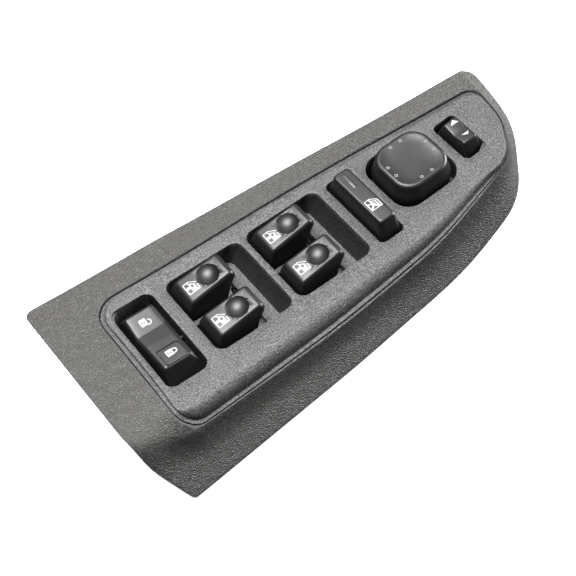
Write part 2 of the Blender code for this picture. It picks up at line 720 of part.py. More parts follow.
def draft(item, axis, centre, low, low_half, high, high_half):
    """Scale a profile's thickness so that it narrows from low_half at low to high_half at high."""
    for vertex in item.data.vertices:
        share = (vertex.co.z - low) / (high - low)
        half = low_half + (high_half - low_half) * max(share, 0.0)
        side = 1.0 if vertex.co[axis] > centre else -1.0
        vertex.co[axis] = centre + side * half


# Bezel

def fold_share(skirt, inner, outer):
    """Share of a station's width at which it crosses the lip's line, kept between two limits."""
    low, high = FOLD_LIMITS
    if nearest(skirt.lip, outer)[0] <= 0:
        return low
    first, last = 0.0, 1.0
    while last - first > 0.001:
        middle = (first + last) / 2
        if nearest(skirt.lip, inner.lerp(outer, middle))[0] > 0:
            last = middle
        else:
            first = middle
    return max(low, min(high, last))


def bezel_section(skirt, inner, outer):
    """The closed section of the bezel at one station, from the ledge's tip round to it again."""
    inner3, outer3 = inner.to_3d(), outer.to_3d()
    way = (outer3 - inner3).normalized()
    lip = skirt.height(inner.x, inner.y)
    ledge = lip - LEDGE_DROP
    run = (outer3 - inner3).length

    def surface(distance):
        """Point of the top surface at a distance from the lip."""
        spot = inner3 + way * distance
        return Vector((spot.x, spot.y, skirt.height(spot.x, spot.y)))

    def under(distance):
        """Point of the underside below it."""
        spot = surface(distance)
        return spot - skirt.normal(spot.x, spot.y) * BEZEL_WALL

    loop = [inner3 - way * LEDGE_REACH + Vector((0, 0, ledge)), inner3 + Vector((0, 0, ledge))]
    turn = surface(LIP_ROUND)
    loop.append(inner3 + Vector((0, 0, lip - LIP_ROUND)))
    loop.append(inner3 + way * LIP_ROUND * 0.12 + Vector((0, 0, lip - LIP_ROUND * 0.5)))
    loop.append(inner3 + way * LIP_ROUND * 0.45 + Vector((0, 0, (lip + turn.z) / 2 - LIP_ROUND * 0.02)))
    loop.append(turn)
    first = LIP_ROUND / run
    fold = fold_share(skirt, inner, outer)
    shares = [fold * step / 3 for step in (1, 2, 3)] + [fold + (1 - fold) * step / 4 for step in (1, 2, 3, 4)]
    loop += [surface(run * (first + (1 - first) * share)) for share in shares]
    rim = surface(run)
    loop.append(rim - Vector((0, 0, 1)) * BEZEL_WALL * 0.8 - way * BEZEL_WALL * 0.35)
    loop += [under(run * share) for share in (0.84, 0.62, 0.42)]
    root = under(run * 0.26)
    loop.append(Vector((root.x, root.y, min(root.z, ledge - LEDGE_THICK * 0.6))))
    loop.append(inner3 + way * 0.6 * MM + Vector((0, 0, ledge - LEDGE_THICK)))
    loop.append(inner3 - way * LEDGE_REACH + Vector((0, 0, ledge - LEDGE_THICK)))
    return loop


def near_edge_y(corners, x):
    """Y of an outline's near side at x."""
    best = None
    points = rounded(corners)
    for first, second in zip(points, points[1:] + points[:1]):
        if min(first.x, second.x) <= x <= max(first.x, second.x) and first.x != second.x:
            y = first.y + (second.y - first.y) * (x - first.x) / (second.x - first.x)
            best = y if best is None else min(best, y)
    return best


def tab_spot(x):
    """Where the screw at x goes through a bezel tab, and the tab's top height."""
    y = near_edge_y(PLATE_CORNERS, x) + TAB_SCREW_INSET
    return y, TAB_TOP + crown(x)


def bezel(skirt, inner, outer):
    """The trim bezel: a lofted ring with its ledge, tabs, ribs and clip towers."""
    made = ring_loft("trim_bezel", [bezel_section(skirt, a, b) for a, b in zip(inner, outer)])
    for index, x in enumerate(TAB_SCREWS_X):
        y, top = tab_spot(x)
        edge = near_edge_y(PLATE_CORNERS, x)
        lip = skirt.height(x, edge)
        arm = block("tab_%d" % index, (x - TAB_HALF, edge - 1.4 * MM, top - TAB_THICK),
                    (x + TAB_HALF, edge + TAB_REACH, top))
        drop = block("tab_drop_%d" % index,
                     (x - TAB_HALF + 0.7 * MM, edge - 1.0 * MM, top - TAB_THICK / 2),
                     (x + TAB_HALF - 0.7 * MM, edge + LEDGE_REACH - 0.6 * MM,
                      lip - LEDGE_DROP - LEDGE_THICK / 2))
        join(made, arm, drop)
        cut(made, rod("tab_hole_%d" % index, (x, y, top - 6 * MM), (x, y, top + 2 * MM),
                      TAB_SHANK + CLEAR, sides=8))
    for index, (x, y, turned) in enumerate(TOWERS):
        half_x, half_y = TOWER_WIDTH / 2, TOWER_THICK / 2
        if turned:
            half_x, half_y = half_y, half_x
        head = skirt.height(x, y) - BEZEL_WALL / 2
        join(made, block("tower_%d" % index, (x - half_x, y - half_y, TOWER_FOOT),
                         (x + half_x, y + half_y, head)))
    for index, x in enumerate(RIBS_X):
        join(made, skirt_rib(skirt, index, x))
    return made


def skirt_rib(skirt, index, x):
    """A stiffening rib between the ledge and the skirt's inner face."""
    edge = near_edge_y(PLATE_CORNERS, x)
    foot = near_edge_y(BEZEL_CORNERS, x)
    outer_line = []
    steps = 6
    for step in range(steps + 1):
        y = edge - 2.2 * MM + (foot - edge + 4.7 * MM) * step / steps
        spot = Vector((x, y, skirt.height(x, y)))
        spot -= skirt.normal(x, y) * BEZEL_WALL * 0.55
        outer_line.append((spot.y, spot.z))
    inner_y = edge + LEDGE_REACH - 0.9 * MM
    points = outer_line + [(inner_y, outer_line[-1][1] + 1.0 * MM),
                           (inner_y, skirt.height(x, edge) - LEDGE_DROP - LEDGE_THICK / 2)]
    return outline_solid("rib_%d" % index, points, x - RIB_THICK / 2, x + RIB_THICK / 2, "YZ")


# Plate

def plate_rings(skirt, inner, outer):
    """Rings of the plate's rim, from its underside out round the flange and over the shoulder."""
    count = len(inner)
    shoulder_steps = 4
    rings = [[] for _ in range(4 + shoulder_steps + 3)]
    for index in range(count):
        edge, away = inner[index], (inner[index] - outer[index]).normalized()
        lip = skirt.height(edge.x, edge.y) - crown(edge.x)
        flange = min(lip - FLANGE_SINK, TOP - STEP_UP)
        rise = TOP - flange
        width = max(0.95 * rise, 1.0 * MM)
        foot = PLATE_GAP + FLANGE_WIDTH
        wall = PLATE_WALL

        def spot(distance, height):
            """Point at a distance in from the bezel's lip."""
            place = edge + away * distance
            return Vector((place.x, place.y, height))

        under = lip - LEDGE_DROP + CLEAR
        line = [spot(foot + width + 1.5 * MM, TOP - wall),
                spot(foot + wall * 0.8 + width * 0.45, min(TOP - wall, flange + rise * 0.55)),
                spot(foot + wall * 0.8, under),
                spot(PLATE_GAP, under),
                spot(PLATE_GAP, flange - 0.25 * MM),
                spot(PLATE_GAP + 0.25 * MM, flange),
                spot(foot - 0.2 * MM, flange)]
        for step in range(1, shoulder_steps + 1):
            angle = math.pi / 2 * step / shoulder_steps
            line.append(spot(foot + width * (1 - math.cos(angle)), flange + rise * math.sin(angle)))
        for ring, point in zip(rings, line):
            ring.append(point)
    return rings


def well_cutter(name, corners, low=10.0 * MM):
    """A straight cutter for a well."""
    return outline_solid(name, rounded(corners), low, TOP + 12.0 * MM)


def well_wall(name, x, y, width, length, radius):
    """The wall round a well, before the well is cut."""
    grown = rounded_rectangle(x, y, width + 2 * WELL_WALL, length + 2 * WELL_WALL, radius + WELL_WALL)
    return outline_solid(name, rounded(grown, 3), WALL_FOOT, TOP - PLATE_WALL / 2)


def window_wall(name, left):
    """The wall and floor round a window well, with its sloping finger recess."""
    floor = TOP - RECESS_DEPTH - WELL_WALL
    profile = [(left - WELL_WALL, TOP - PLATE_WALL / 2), (left - WELL_WALL, WALL_FOOT),
               (left + LEDGE_LEFT + WELL_WALL, WALL_FOOT), (left + LEDGE_LEFT + WELL_WALL, floor),
               (left + LEDGE_LEFT + LEDGE_WIDTH + 0.9 * MM, floor),
               (left + WINDOW_WIDTH + WELL_WALL, TOP - PLATE_WALL / 2)]
    half = WINDOW_LENGTH / 2 + WELL_WALL
    return outline_solid(name, profile, WINDOW_Y - half, WINDOW_Y + half, "XZ")


def window_cutter(name, left):
    """The space of a window well: straight at the keys, sloping at the finger recess."""
    right = left + WINDOW_WIDTH
    top = TOP + 12.0 * MM
    profile = [(left, top), (left, WALL_FOOT - 8.0 * MM), (left + LEDGE_LEFT, WALL_FOOT - 8.0 * MM),
               (left + LEDGE_LEFT, TOP - RECESS_DEPTH), (left + LEDGE_LEFT + LEDGE_WIDTH, TOP - RECESS_DEPTH),
               (right, TOP - RECESS_RIM), (right, top)]
    half = WINDOW_LENGTH / 2
    made = outline_solid(name, profile, WINDOW_Y - half, WINDOW_Y + half, "XZ")

    def upright(edge):
        """Is this one of the well's upright corners."""
        first, second = edge.verts
        if abs(first.co.y - second.co.y) > 1e-6 or abs(first.co.z - second.co.z) < 1e-4:
            return False
        return min(first.co.x, second.co.x) < left + 1e-6 or max(first.co.x, second.co.x) > right - 1e-6
    round_edges(made, WELL_CORNER, 3, upright)
    return made


def key_centres(left):
    """Y of a pair's near and far key."""
    return (WINDOW_Y - KEY_OFFSET, WINDOW_Y + KEY_OFFSET)


def plate(skirt, inner, outer):
    """The switch plate: rim, skin, wells, bearing webs and screw bosses."""
    made = loft("switch_plate", plate_rings(skirt, inner, outer))
    pair_half = WINDOW_LENGTH / 2 + WELL_WALL
    for index, left in enumerate((REAR_LEFT, FRONT_LEFT)):
        join(made, window_wall("window_wall_%d" % index, left))
    singles = (("lock", LOCK_X, LOCK_Y, LOCK_WIDTH, LOCK_LENGTH, WELL_CORNER),
               ("bar", BAR_X, BAR_Y, BAR_WIDTH, BAR_LENGTH, SELECTOR_CORNER),
               ("pad", PAD_X, PAD_Y, PAD_WELL, PAD_WELL, PAD_WELL_CORNER),
               ("selector", SELECTOR_X, SELECTOR_Y, SELECTOR_WIDTH, SELECTOR_LENGTH, SELECTOR_CORNER))
    for label, x, y, width, length, radius in singles:
        join(made, well_wall(label + "_wall", x, y, width, length, radius))
    rim = outline_solid("plate_rim_wall", rounded(HOUSING_CORNERS, 3), WALL_FOOT + RIM_RAISE,
                        TOP - PLATE_WALL / 2)
    inside = outline_solid("plate_rim_inside", rounded(inset(HOUSING_CORNERS, HOUSING_WALL), 3),
                           WALL_FOOT - 5 * MM, TOP)
    cut(rim, inside)
    bake(rim)
    join(made, rim)
    for index, (x, y) in enumerate(CASE_SCREWS):
        join(made, rod("case_boss_%d" % index, (x, y, BOSS_FOOT), (x, y, boss_root(x, y)), BOSS_RADIUS,
                       sides=BOSS_SIDES))
    for index, x in enumerate(TAB_SCREWS_X):
        y, top = tab_spot(x)[0], TAB_TOP
        edge = near_edge_y(PLATE_CORNERS, x)
        head = skirt.height(x, edge) - crown(x) - FLANGE_SINK + TAB_BOSS_RISE
        join(made, rod("tab_boss_%d" % index, (x, y, top + CLEAR), (x, y, head), TAB_BOSS_RADIUS,
                       sides=THREAD_SIDES))
    for index, sign in enumerate((-1, 1)):
        x, y = PAD_X - CARRIER_SCREW, PAD_Y + sign * CARRIER_SCREW
        join(made, rod("carrier_boss_%d" % index, (x, y, WALL_FOOT + CARRIER_BOSS_RAISE),
                       (x, y, TOP - PLATE_WALL / 2), CARRIER_BOSS_RADIUS, sides=BOSS_SIDES))
    for index, left in enumerate((REAR_LEFT, FRONT_LEFT)):
        cut(made, window_cutter("window_cutter_%d" % index, left))
        web = block("web_%d" % index, (left - WELL_WALL / 2, WINDOW_Y - WEB_THICK / 2, WALL_FOOT + WEB_RAISE),
                    (left + LEDGE_LEFT + WELL_WALL / 2, WINDOW_Y + WEB_THICK / 2, TOP - WEB_TOP))
        join(made, web)
        x, z = left + KEY_PIVOT_X, TOP - KEY_PIVOT_DEPTH
        cut(made, rod("window_bearing_%d" % index, (x, WINDOW_Y - pair_half - 1 * MM, z),
                      (x, WINDOW_Y + pair_half + 1 * MM, z), PIN_RADIUS + PIN_CLEAR, sides=PIN_SIDES))
    for label, x, y, width, length, radius in singles:
        cut(made, well_cutter(label + "_cutter", rounded_rectangle(x, y, width, length, radius)))
    for label, x, y, width in (("lock", LOCK_X, LOCK_Y, LOCK_WIDTH),
                               ("selector", SELECTOR_X, SELECTOR_Y, SELECTOR_WIDTH)):
        reach = width / 2 + WELL_WALL + 0.4 * MM
        z = TOP - ROCKER_PIVOT_DEPTH
        cut(made, rod(label + "_bearing", (x - reach, y, z), (x + reach, y, z), PIN_RADIUS + PIN_CLEAR,
                      sides=PIN_SIDES))
    for index, (x, y) in enumerate(CASE_SCREWS):
        depth = min(boss_root(x, y) - 2.2 * MM, BOSS_FOOT + 12.0 * MM)
        cut(made, rod("case_thread_%d" % index, (x, y, BOSS_FOOT - 2 * MM), (x, y, depth),
                      SCREW_SHANK + CLEAR, sides=8))
    for index, x in enumerate(TAB_SCREWS_X):
        y, top = tab_spot(x)[0], TAB_TOP
        cut(made, rod("tab_thread_%d" % index, (x, y, top - 2 * MM), (x, y, top + TAB_THREAD),
                      TAB_SHANK + CLEAR, sides=8))
    for index, sign in enumerate((-1, 1)):
        x, y = PAD_X - CARRIER_SCREW, PAD_Y + sign * CARRIER_SCREW
        cut(made, rod("carrier_thread_%d" % index, (x, y, WALL_FOOT - 2 * MM),
                      (x, y, WALL_FOOT + CARRIER_THREAD), TAB_SHANK + CLEAR, sides=THREAD_SIDES))
    follow_crown(made)
    return made


def boss_root(x, y):
    """Where a case boss meets the plate: the recess floor, or the skin."""
    for left in (REAR_LEFT, FRONT_LEFT):
        if left + LEDGE_LEFT < x < left + WINDOW_WIDTH:
            return TOP - RECESS_DEPTH - WELL_WALL / 2
    return TOP - PLATE_WALL / 2


def inset(corners, distance):
    """The corners of an anticlockwise outline moved inwards."""
    result = []
    count = len(corners)
    for index, (a, b, radius) in enumerate(corners):
        here = Vector((a, b))
        back = (here - Vector(corners[index - 1][:2])).normalized()
        ahead = (Vector(corners[(index + 1) % count][:2]) - here).normalized()
        normal_back, normal_ahead = Vector((-back.y, back.x)), Vector((-ahead.y, ahead.x))
        middle = (normal_back + normal_ahead).normalized()
        shift = middle * (distance / middle.dot(normal_back))
        result.append((a + shift.x, b + shift.y, max(radius - distance, 0.5 * MM)))
    return result


# Keys

def window_key(name, left, centre_y, inward):
    """A window key: drafted paddle with a finger lip, dimple, pins and two feet."""
    def place(x, z):
        """Profile point from the well's left wall and the plate surface."""
        return (left + x, TOP + z)

    base = -KEY_BASE
    corners = [(*place(KEY_END, base), 0.6 * MM),
               (*place(KEY_END + 0.3 * MM, -1.0 * MM), 5.0 * MM),
               (*place(KEY_END + 2.7 * MM, KEY_HEIGHT_LOW), 2.4 * MM),
               (*place(KEY_LIP - 1.6 * MM, KEY_HEIGHT_NOSE), 1.8 * MM),
               (*place(KEY_LIP, KEY_HEIGHT_NOSE - 3.2 * MM), 2.0 * MM),
               (*place(KEY_LIP - 4.4 * MM, -1.6 * MM), 6.0 * MM),
               (*place(KEY_STEM, -6.5 * MM), 4.0 * MM),
               (*place(KEY_STEM, base), 0.6 * MM)]
    made = outline_solid(name, rounded(corners, 3), centre_y - 1 * MM, centre_y + 1 * MM, "XZ")
    draft(made, 1, centre_y, TOP - KEY_PIVOT_DEPTH, KEY_LOW_HALF, TOP + KEY_HEIGHT_LOW, KEY_TOP_HALF)
    round_edges(made, KEY_EDGE, 2, side_edges(1, TOP - 3.0 * MM))
    ball = (DIMPLE_DIAMETER ** 2 / 4 + DIMPLE_DEPTH ** 2) / (2 * DIMPLE_DEPTH)
    slope = (KEY_HEIGHT_NOSE - KEY_HEIGHT_LOW) / (KEY_LIP - KEY_END - 4.3 * MM)
    surface = KEY_HEIGHT_LOW + slope * (DIMPLE_X - KEY_END - 2.7 * MM)
    mesh = bmesh.new()
    bmesh.ops.create_uvsphere(mesh, u_segments=18, v_segments=14, radius=ball)
    dimple = finish(mesh, name + "_dimple")
    dimple.data.transform(Matrix.Translation((left + DIMPLE_X - slope * (ball - DIMPLE_DEPTH), centre_y,
                                              TOP + surface + ball - DIMPLE_DEPTH)))
    pocket = block(name + "_pocket",
                   (left + KEY_END + KEY_WALL, centre_y - KEY_LOW_HALF + KEY_WALL, TOP + base - 1 * MM),
                   (left + KEY_STEM - KEY_WALL, centre_y + KEY_LOW_HALF - KEY_WALL, TOP - 3.4 * MM))
    cut(made, dimple, pocket)
    pivot = Vector((left + KEY_PIVOT_X, centre_y, TOP - KEY_PIVOT_DEPTH))
    web_face = KEY_OFFSET - WEB_THICK / 2
    wall_face = WINDOW_LENGTH / 2 - KEY_OFFSET
    inner_end = pivot + Vector((0, inward * (web_face + PIN_SEAT), 0))
    outer_end = pivot - Vector((0, inward * (wall_face + PIN_SEAT), 0))
    root = Vector((0, inward * (KEY_LOW_HALF - KEY_WALL * 0.6), 0))
    join(made, rod(name + "_inner_pin", pivot + root, inner_end, PIN_RADIUS, sides=PIN_SIDES),
         rod(name + "_outer_pin", pivot - root, outer_end, PIN_RADIUS, sides=PIN_SIDES))
    for index, x in enumerate(key_feet(left)):
        join(made, block("%s_foot_%d" % (name, index),
                         (x - FOOT_SIZE / 2, centre_y - FOOT_SIZE / 2, FOOT_TIP),
                         (x + FOOT_SIZE / 2, centre_y + FOOT_SIZE / 2, TOP - 9.6 * MM)))
    follow_crown(made)
    set_origin(made, pivot)
    return made


def key_feet(left):
    """X of a window key's two feet."""
    return (left + KEY_END + KEY_WALL - 0.2 * MM, left + KEY_STEM - KEY_WALL + 0.2 * MM)


def lock_rocker():
    """The door lock rocker: shallow V top, sloping ends, grooved pad, pins and feet."""
    low_half = LOCK_LENGTH / 2 - LOCK_END_GAP
    half = LOCK_TOP_LENGTH / 2
    base = TOP - ROCKER_BASE
    corners = [(LOCK_Y - low_half, base, 0.6 * MM),
               (LOCK_Y - low_half + 0.6 * MM, TOP - 6.0 * MM, 6.0 * MM),
               (LOCK_Y - half, TOP + LOCK_HEIGHT, 1.3 * MM),
               (LOCK_Y + 2.0 * MM, TOP + LOCK_VALLEY, 14.0 * MM),
               (LOCK_Y + half, TOP + LOCK_HEIGHT, 1.3 * MM),
               (LOCK_Y + low_half - 0.6 * MM, TOP - 6.0 * MM, 6.0 * MM),
               (LOCK_Y + low_half, base, 0.6 * MM)]
    made = outline_solid("lock_rocker", rounded(corners, 4), LOCK_X - 1 * MM, LOCK_X + 1 * MM, "YZ")
    draft(made, 0, LOCK_X, TOP - ROCKER_PIVOT_DEPTH, LOCK_LOW_HALF, TOP + LOCK_HEIGHT, LOCK_TOP_HALF)
    round_edges(made, 1.3 * MM, 3, side_edges(0, TOP - 3.5 * MM))
    pad_y = LOCK_Y - half + 2.4 * MM + LOCK_PAD_SIZE / 2
    outer_ring = block("lock_groove_outer", (LOCK_X - LOCK_PAD_SIZE / 2 - GROOVE_WIDTH,
                                             pad_y - LOCK_PAD_SIZE / 2 - GROOVE_WIDTH, TOP + LOCK_VALLEY - 1 * MM),
                       (LOCK_X + LOCK_PAD_SIZE / 2 + GROOVE_WIDTH,
                        pad_y + LOCK_PAD_SIZE / 2 + GROOVE_WIDTH, TOP + 8 * MM))
    core = block("lock_groove_core", (LOCK_X - LOCK_PAD_SIZE / 2, pad_y - LOCK_PAD_SIZE / 2, TOP - 2 * MM),
                 (LOCK_X + LOCK_PAD_SIZE / 2, pad_y + LOCK_PAD_SIZE / 2, TOP + 9 * MM))
    cut(outer_ring, core)
    bake(outer_ring)
    slope = (LOCK_HEIGHT - LOCK_VALLEY) / (half + 2.0 * MM)
    for vertex in outer_ring.data.vertices:
        if vertex.co.z < TOP + 4 * MM:
            surface = TOP + LOCK_VALLEY + (LOCK_Y + 2.0 * MM - vertex.co.y) * slope
            vertex.co.z = surface - GROOVE_DEPTH
    pocket = block("lock_pocket", (LOCK_X - LOCK_LOW_HALF + KEY_WALL, LOCK_Y - half, base - 1 * MM),
                   (LOCK_X + LOCK_LOW_HALF - KEY_WALL, LOCK_Y + half, TOP - 3.4 * MM))
    cut(made, outer_ring, pocket)
    pivot = Vector((LOCK_X, LOCK_Y, TOP - ROCKER_PIVOT_DEPTH))
    for sign in (-1, 1):
        root = pivot + Vector((sign * (LOCK_LOW_HALF - KEY_WALL * 0.6), 0, 0))
        end = pivot + Vector((sign * (LOCK_WIDTH / 2 + PIN_SEAT), 0, 0))
        join(made, rod("lock_pin_%+d" % sign, root, end, PIN_RADIUS, sides=PIN_SIDES))
        y = LOCK_Y + sign * LOCK_FOOT_Y
        join(made, block("lock_foot_%+d" % sign, (LOCK_X - FOOT_SIZE / 2, y - FOOT_SIZE / 2, FOOT_TIP),
                         (LOCK_X + FOOT_SIZE / 2, y + FOOT_SIZE / 2, TOP - 2.6 * MM)))
    follow_crown(made)
    set_origin(made, pivot)
    return made


def selector():
    """The mirror selector: a small rocker with a dip between its two ends."""
    low_x = SELECTOR_WIDTH / 2 - SELECTOR_SIDE_GAP
    low_y = SELECTOR_LENGTH / 2 - 1.9 * MM
    half = SELECTOR_TOP_LENGTH / 2
    base = TOP - ROCKER_BASE
    corners = [(SELECTOR_Y - low_y, base, 0.6 * MM),
               (SELECTOR_Y - low_y + 0.3 * MM, TOP - 3.0 * MM, 6.0 * MM),
               (SELECTOR_Y - half, TOP + SELECTOR_HEIGHT, 1.6 * MM),
               (SELECTOR_Y, TOP + SELECTOR_HEIGHT - SELECTOR_DIP, 8.0 * MM),
               (SELECTOR_Y + half, TOP + SELECTOR_HEIGHT, 1.6 * MM),
               (SELECTOR_Y + low_y - 0.3 * MM, TOP - 3.0 * MM, 6.0 * MM),
               (SELECTOR_Y + low_y, base, 0.6 * MM)]
    made = outline_solid("mirror_selector", rounded(corners, 4), SELECTOR_X - 1 * MM, SELECTOR_X + 1 * MM, "YZ")
    draft(made, 0, SELECTOR_X, TOP - ROCKER_PIVOT_DEPTH, low_x, TOP + SELECTOR_HEIGHT, SELECTOR_TOP_WIDTH / 2)
    round_edges(made, 0.9 * MM, 3, side_edges(0, TOP - 2.5 * MM))
    pocket = block("selector_pocket", (SELECTOR_X - low_x + KEY_WALL, SELECTOR_Y - half, base - 1 * MM),
                   (SELECTOR_X + low_x - KEY_WALL, SELECTOR_Y + half, TOP - 3.0 * MM))
    cut(made, pocket)
    pivot = Vector((SELECTOR_X, SELECTOR_Y, TOP - ROCKER_PIVOT_DEPTH))
    for sign in (-1, 1):
        root = pivot + Vector((sign * (low_x - KEY_WALL * 0.6), 0, 0))
        end = pivot + Vector((sign * (SELECTOR_WIDTH / 2 + PIN_SEAT), 0, 0))
        join(made, rod("selector_pin_%+d" % sign, root, end, PIN_RADIUS, sides=PIN_SIDES))
        y = SELECTOR_Y + sign * SELECTOR_FOOT_Y
        join(made, block("selector_foot_%+d" % sign, (SELECTOR_X - FOOT_SIZE / 2, y - FOOT_SIZE / 2, FOOT_TIP),
                         (SELECTOR_X + FOOT_SIZE / 2, y + FOOT_SIZE / 2, TOP - 2.4 * MM)))
    follow_crown(made)
    set_origin(made, pivot)
    return made


def lockout_button():
    """The window lock-out button, with a slot for its light pipe and a guide inside the well."""
    guide_x, guide_y = BAR_WIDTH - 2 * CLEAR, BAR_LENGTH - 2 * CLEAR
    levels = ((guide_x, guide_y, -11.5 * MM, 2.3 * MM), (guide_x, guide_y, -4.0 * MM, 2.3 * MM),
              (BAR_RIM_WIDTH, BAR_RIM_LENGTH, -3.2 * MM, 2.2 * MM),
              (BAR_RIM_WIDTH - 0.4 * MM, BAR_RIM_LENGTH - 0.8 * MM, 0.0, 2.2 * MM),
              (BAR_TOP_WIDTH + 1.2 * MM, BAR_TOP_LENGTH + 1.6 * MM, BAR_HEIGHT - 2.0 * MM, 2.0 * MM),
              (BAR_TOP_WIDTH + 0.6 * MM, BAR_TOP_LENGTH + 0.8 * MM, BAR_HEIGHT - 0.8 * MM, 1.8 * MM),
              (BAR_TOP_WIDTH - 0.5 * MM, BAR_TOP_LENGTH - 0.5 * MM, BAR_HEIGHT - 0.15 * MM, 1.5 * MM),
              (BAR_TOP_WIDTH - 1.6 * MM, BAR_TOP_LENGTH - 1.6 * MM, BAR_HEIGHT, 1.0 * MM))
    rings = []
    for width, length, z, radius in levels:
        flat = rounded(rounded_rectangle(BAR_X, BAR_Y, width, length, radius), 3)
        rings.append([Vector((point.x, point.y, TOP + z)) for point in flat])
    made = loft("lockout_button", rings)
    pocket = block("bar_pocket", (BAR_X - guide_x / 2 + KEY_WALL, BAR_Y - guide_y / 2 + KEY_WALL, TOP - 13 * MM),
                   (BAR_X + guide_x / 2 - KEY_WALL, BAR_Y + guide_y / 2 - KEY_WALL, TOP - 3.6 * MM))
    lens_y = BAR_Y + LENS_Y
    slot = block("bar_slot",
                 (BAR_X - LENS_WIDTH / 2 - CLEAR / 2, lens_y - LENS_LENGTH / 2 - CLEAR / 2, TOP - 14 * MM),
                 (BAR_X + LENS_WIDTH / 2 + CLEAR / 2, lens_y + LENS_LENGTH / 2 + CLEAR / 2, TOP + 12 * MM))
    cut(made, pocket, slot)
    join(made, rod("bar_foot", (BAR_X, BAR_Y + PLUNGER_Y, PLUNGER_TOP + CLEAR),
                   (BAR_X, BAR_Y + PLUNGER_Y, TOP - 2.8 * MM), 1.8 * MM, sides=BOSS_SIDES))
    follow_crown(made)
    set_origin(made, (BAR_X, BAR_Y, TOP))
    return made


def lockout_light_pipe():
    """The clear bar that carries the indicator light up to the button's top."""
    y = BAR_Y + LENS_Y
    made = block("lockout_light_pipe", (BAR_X - LENS_WIDTH / 2, y - LENS_LENGTH / 2, LED_TOP + BAR_TRAVEL + 0.8 * MM),
                 (BAR_X + LENS_WIDTH / 2, y + LENS_LENGTH / 2, TOP + BAR_HEIGHT - 0.1 * MM))
    follow_crown(made)
    set_origin(made, (BAR_X, BAR_Y, TOP))
    return made


def lockout_plunger():
    """The plunger of the latching switch under the button."""
    y = BAR_Y + PLUNGER_Y
    made = rod("lockout_plunger", (BAR_X, y, BOARD_TOP + 3.6 * MM), (BAR_X, y, PLUNGER_TOP), 1.6 * MM, sides=14)
    follow_crown(made)
    set_origin(made, (BAR_X, BAR_Y, TOP))
    return made


def lockout_switch():
    """The latching switch on the board."""
    y = BAR_Y + PLUNGER_Y
    made = block("lockout_switch", (BAR_X - 4 * MM, y - 5 * MM, BOARD_TOP + CLEAR),
                 (BAR_X + 4 * MM, y + 5 * MM, SWITCH_TOP))
    cut(made, rod("switch_bore", (BAR_X, y, BOARD_TOP + 1.0 * MM), (BAR_X, y, SWITCH_TOP + 2 * MM),
                  1.6 * MM + CLEAR, sides=14))
    return made


def indicator_led():
    """The lamp below the light pipe."""
    y = BAR_Y + LENS_Y
    return block("indicator_led", (BAR_X - 1.6 * MM, y - 1.8 * MM, BOARD_TOP + CLEAR),
                 (BAR_X + 1.6 * MM, y + 1.8 * MM, LED_TOP))


def mirror_pad():
    """The mirror pad: a dished rounded square cap on a pinned boss, with four feet."""
    levels = ((PAD_NECK_HALF, -PAD_SKIRT, 8.7 * MM), (PAD_NECK_HALF, PAD_RIM - 1.0 * MM, 8.7 * MM),
              (PAD_LOW_HALF, PAD_RIM, 10.0 * MM),
              (PAD_TOP_HALF + 1.6 * MM, PAD_HEIGHT - 2.6 * MM, PAD_CORNER + 0.6 * MM),
              (PAD_TOP_HALF + 1.0 * MM, PAD_HEIGHT - 1.0 * MM, PAD_CORNER + 0.4 * MM),
              (PAD_TOP_HALF + 0.3 * MM, PAD_HEIGHT - 0.2 * MM, PAD_CORNER),
              (PAD_TOP_HALF - 0.7 * MM, PAD_HEIGHT, PAD_CORNER - 0.7 * MM),
              (PAD_TOP_HALF - 1.8 * MM, PAD_HEIGHT - 0.35 * PAD_DISH, PAD_CORNER - 1.6 * MM),
              (PAD_TOP_HALF - 4.4 * MM, PAD_HEIGHT - 0.8 * PAD_DISH, PAD_CORNER - 3.8 * MM),
              (PAD_TOP_HALF - 9.0 * MM, PAD_HEIGHT - PAD_DISH, 3.0 * MM))
    rings = []
    for half, z, radius in levels:
        flat = rounded(rounded_rectangle(PAD_X, PAD_Y, 2 * half, 2 * half, radius), 5)
        rings.append([Vector((point.x, point.y, TOP + z)) for point in flat])
    made = loft("mirror_pad", rings)
    hollow_half = PAD_NECK_HALF - PAD_WALL
    inside = rounded_rectangle(PAD_X, PAD_Y, 2 * hollow_half, 2 * hollow_half, 7.0 * MM)
    hollow = outline_solid("pad_hollow", rounded(inside, 4), TOP - PAD_SKIRT - 2 * MM, TOP + PAD_HEIGHT - 3.6 * MM)
    cut(made, hollow)
    ceiling = TOP + PAD_HEIGHT - 2.6 * MM
    pivot = Vector((PAD_X, PAD_Y, TOP - GIMBAL_DEPTH))
    join(made, rod("pad_boss", (PAD_X, PAD_Y, TOP - GIMBAL_DEPTH - 2.2 * MM), (PAD_X, PAD_Y, ceiling),
                   PAD_BOSS_RADIUS, sides=16))
    for sign in (-1, 1):
        join(made, rod("pad_pin_%+d" % sign, pivot + Vector((0, sign * 1.0 * MM, 0)),
                       pivot + Vector((0, sign * (GIMBAL_OUTER - 0.5 * MM), 0)), PIN_RADIUS, sides=PIN_SIDES))
        for other in (-1, 1):
            x, y = PAD_X + sign * PAD_FOOT_OFFSET, PAD_Y + other * PAD_FOOT_OFFSET
            join(made, rod("pad_foot_%+d_%+d" % (sign, other), (x, y, FOOT_TIP), (x, y, ceiling),
                           PAD_FOOT_RADIUS, sides=THREAD_SIDES))
    follow_crown(made)
    set_origin(made, pivot)
    return made


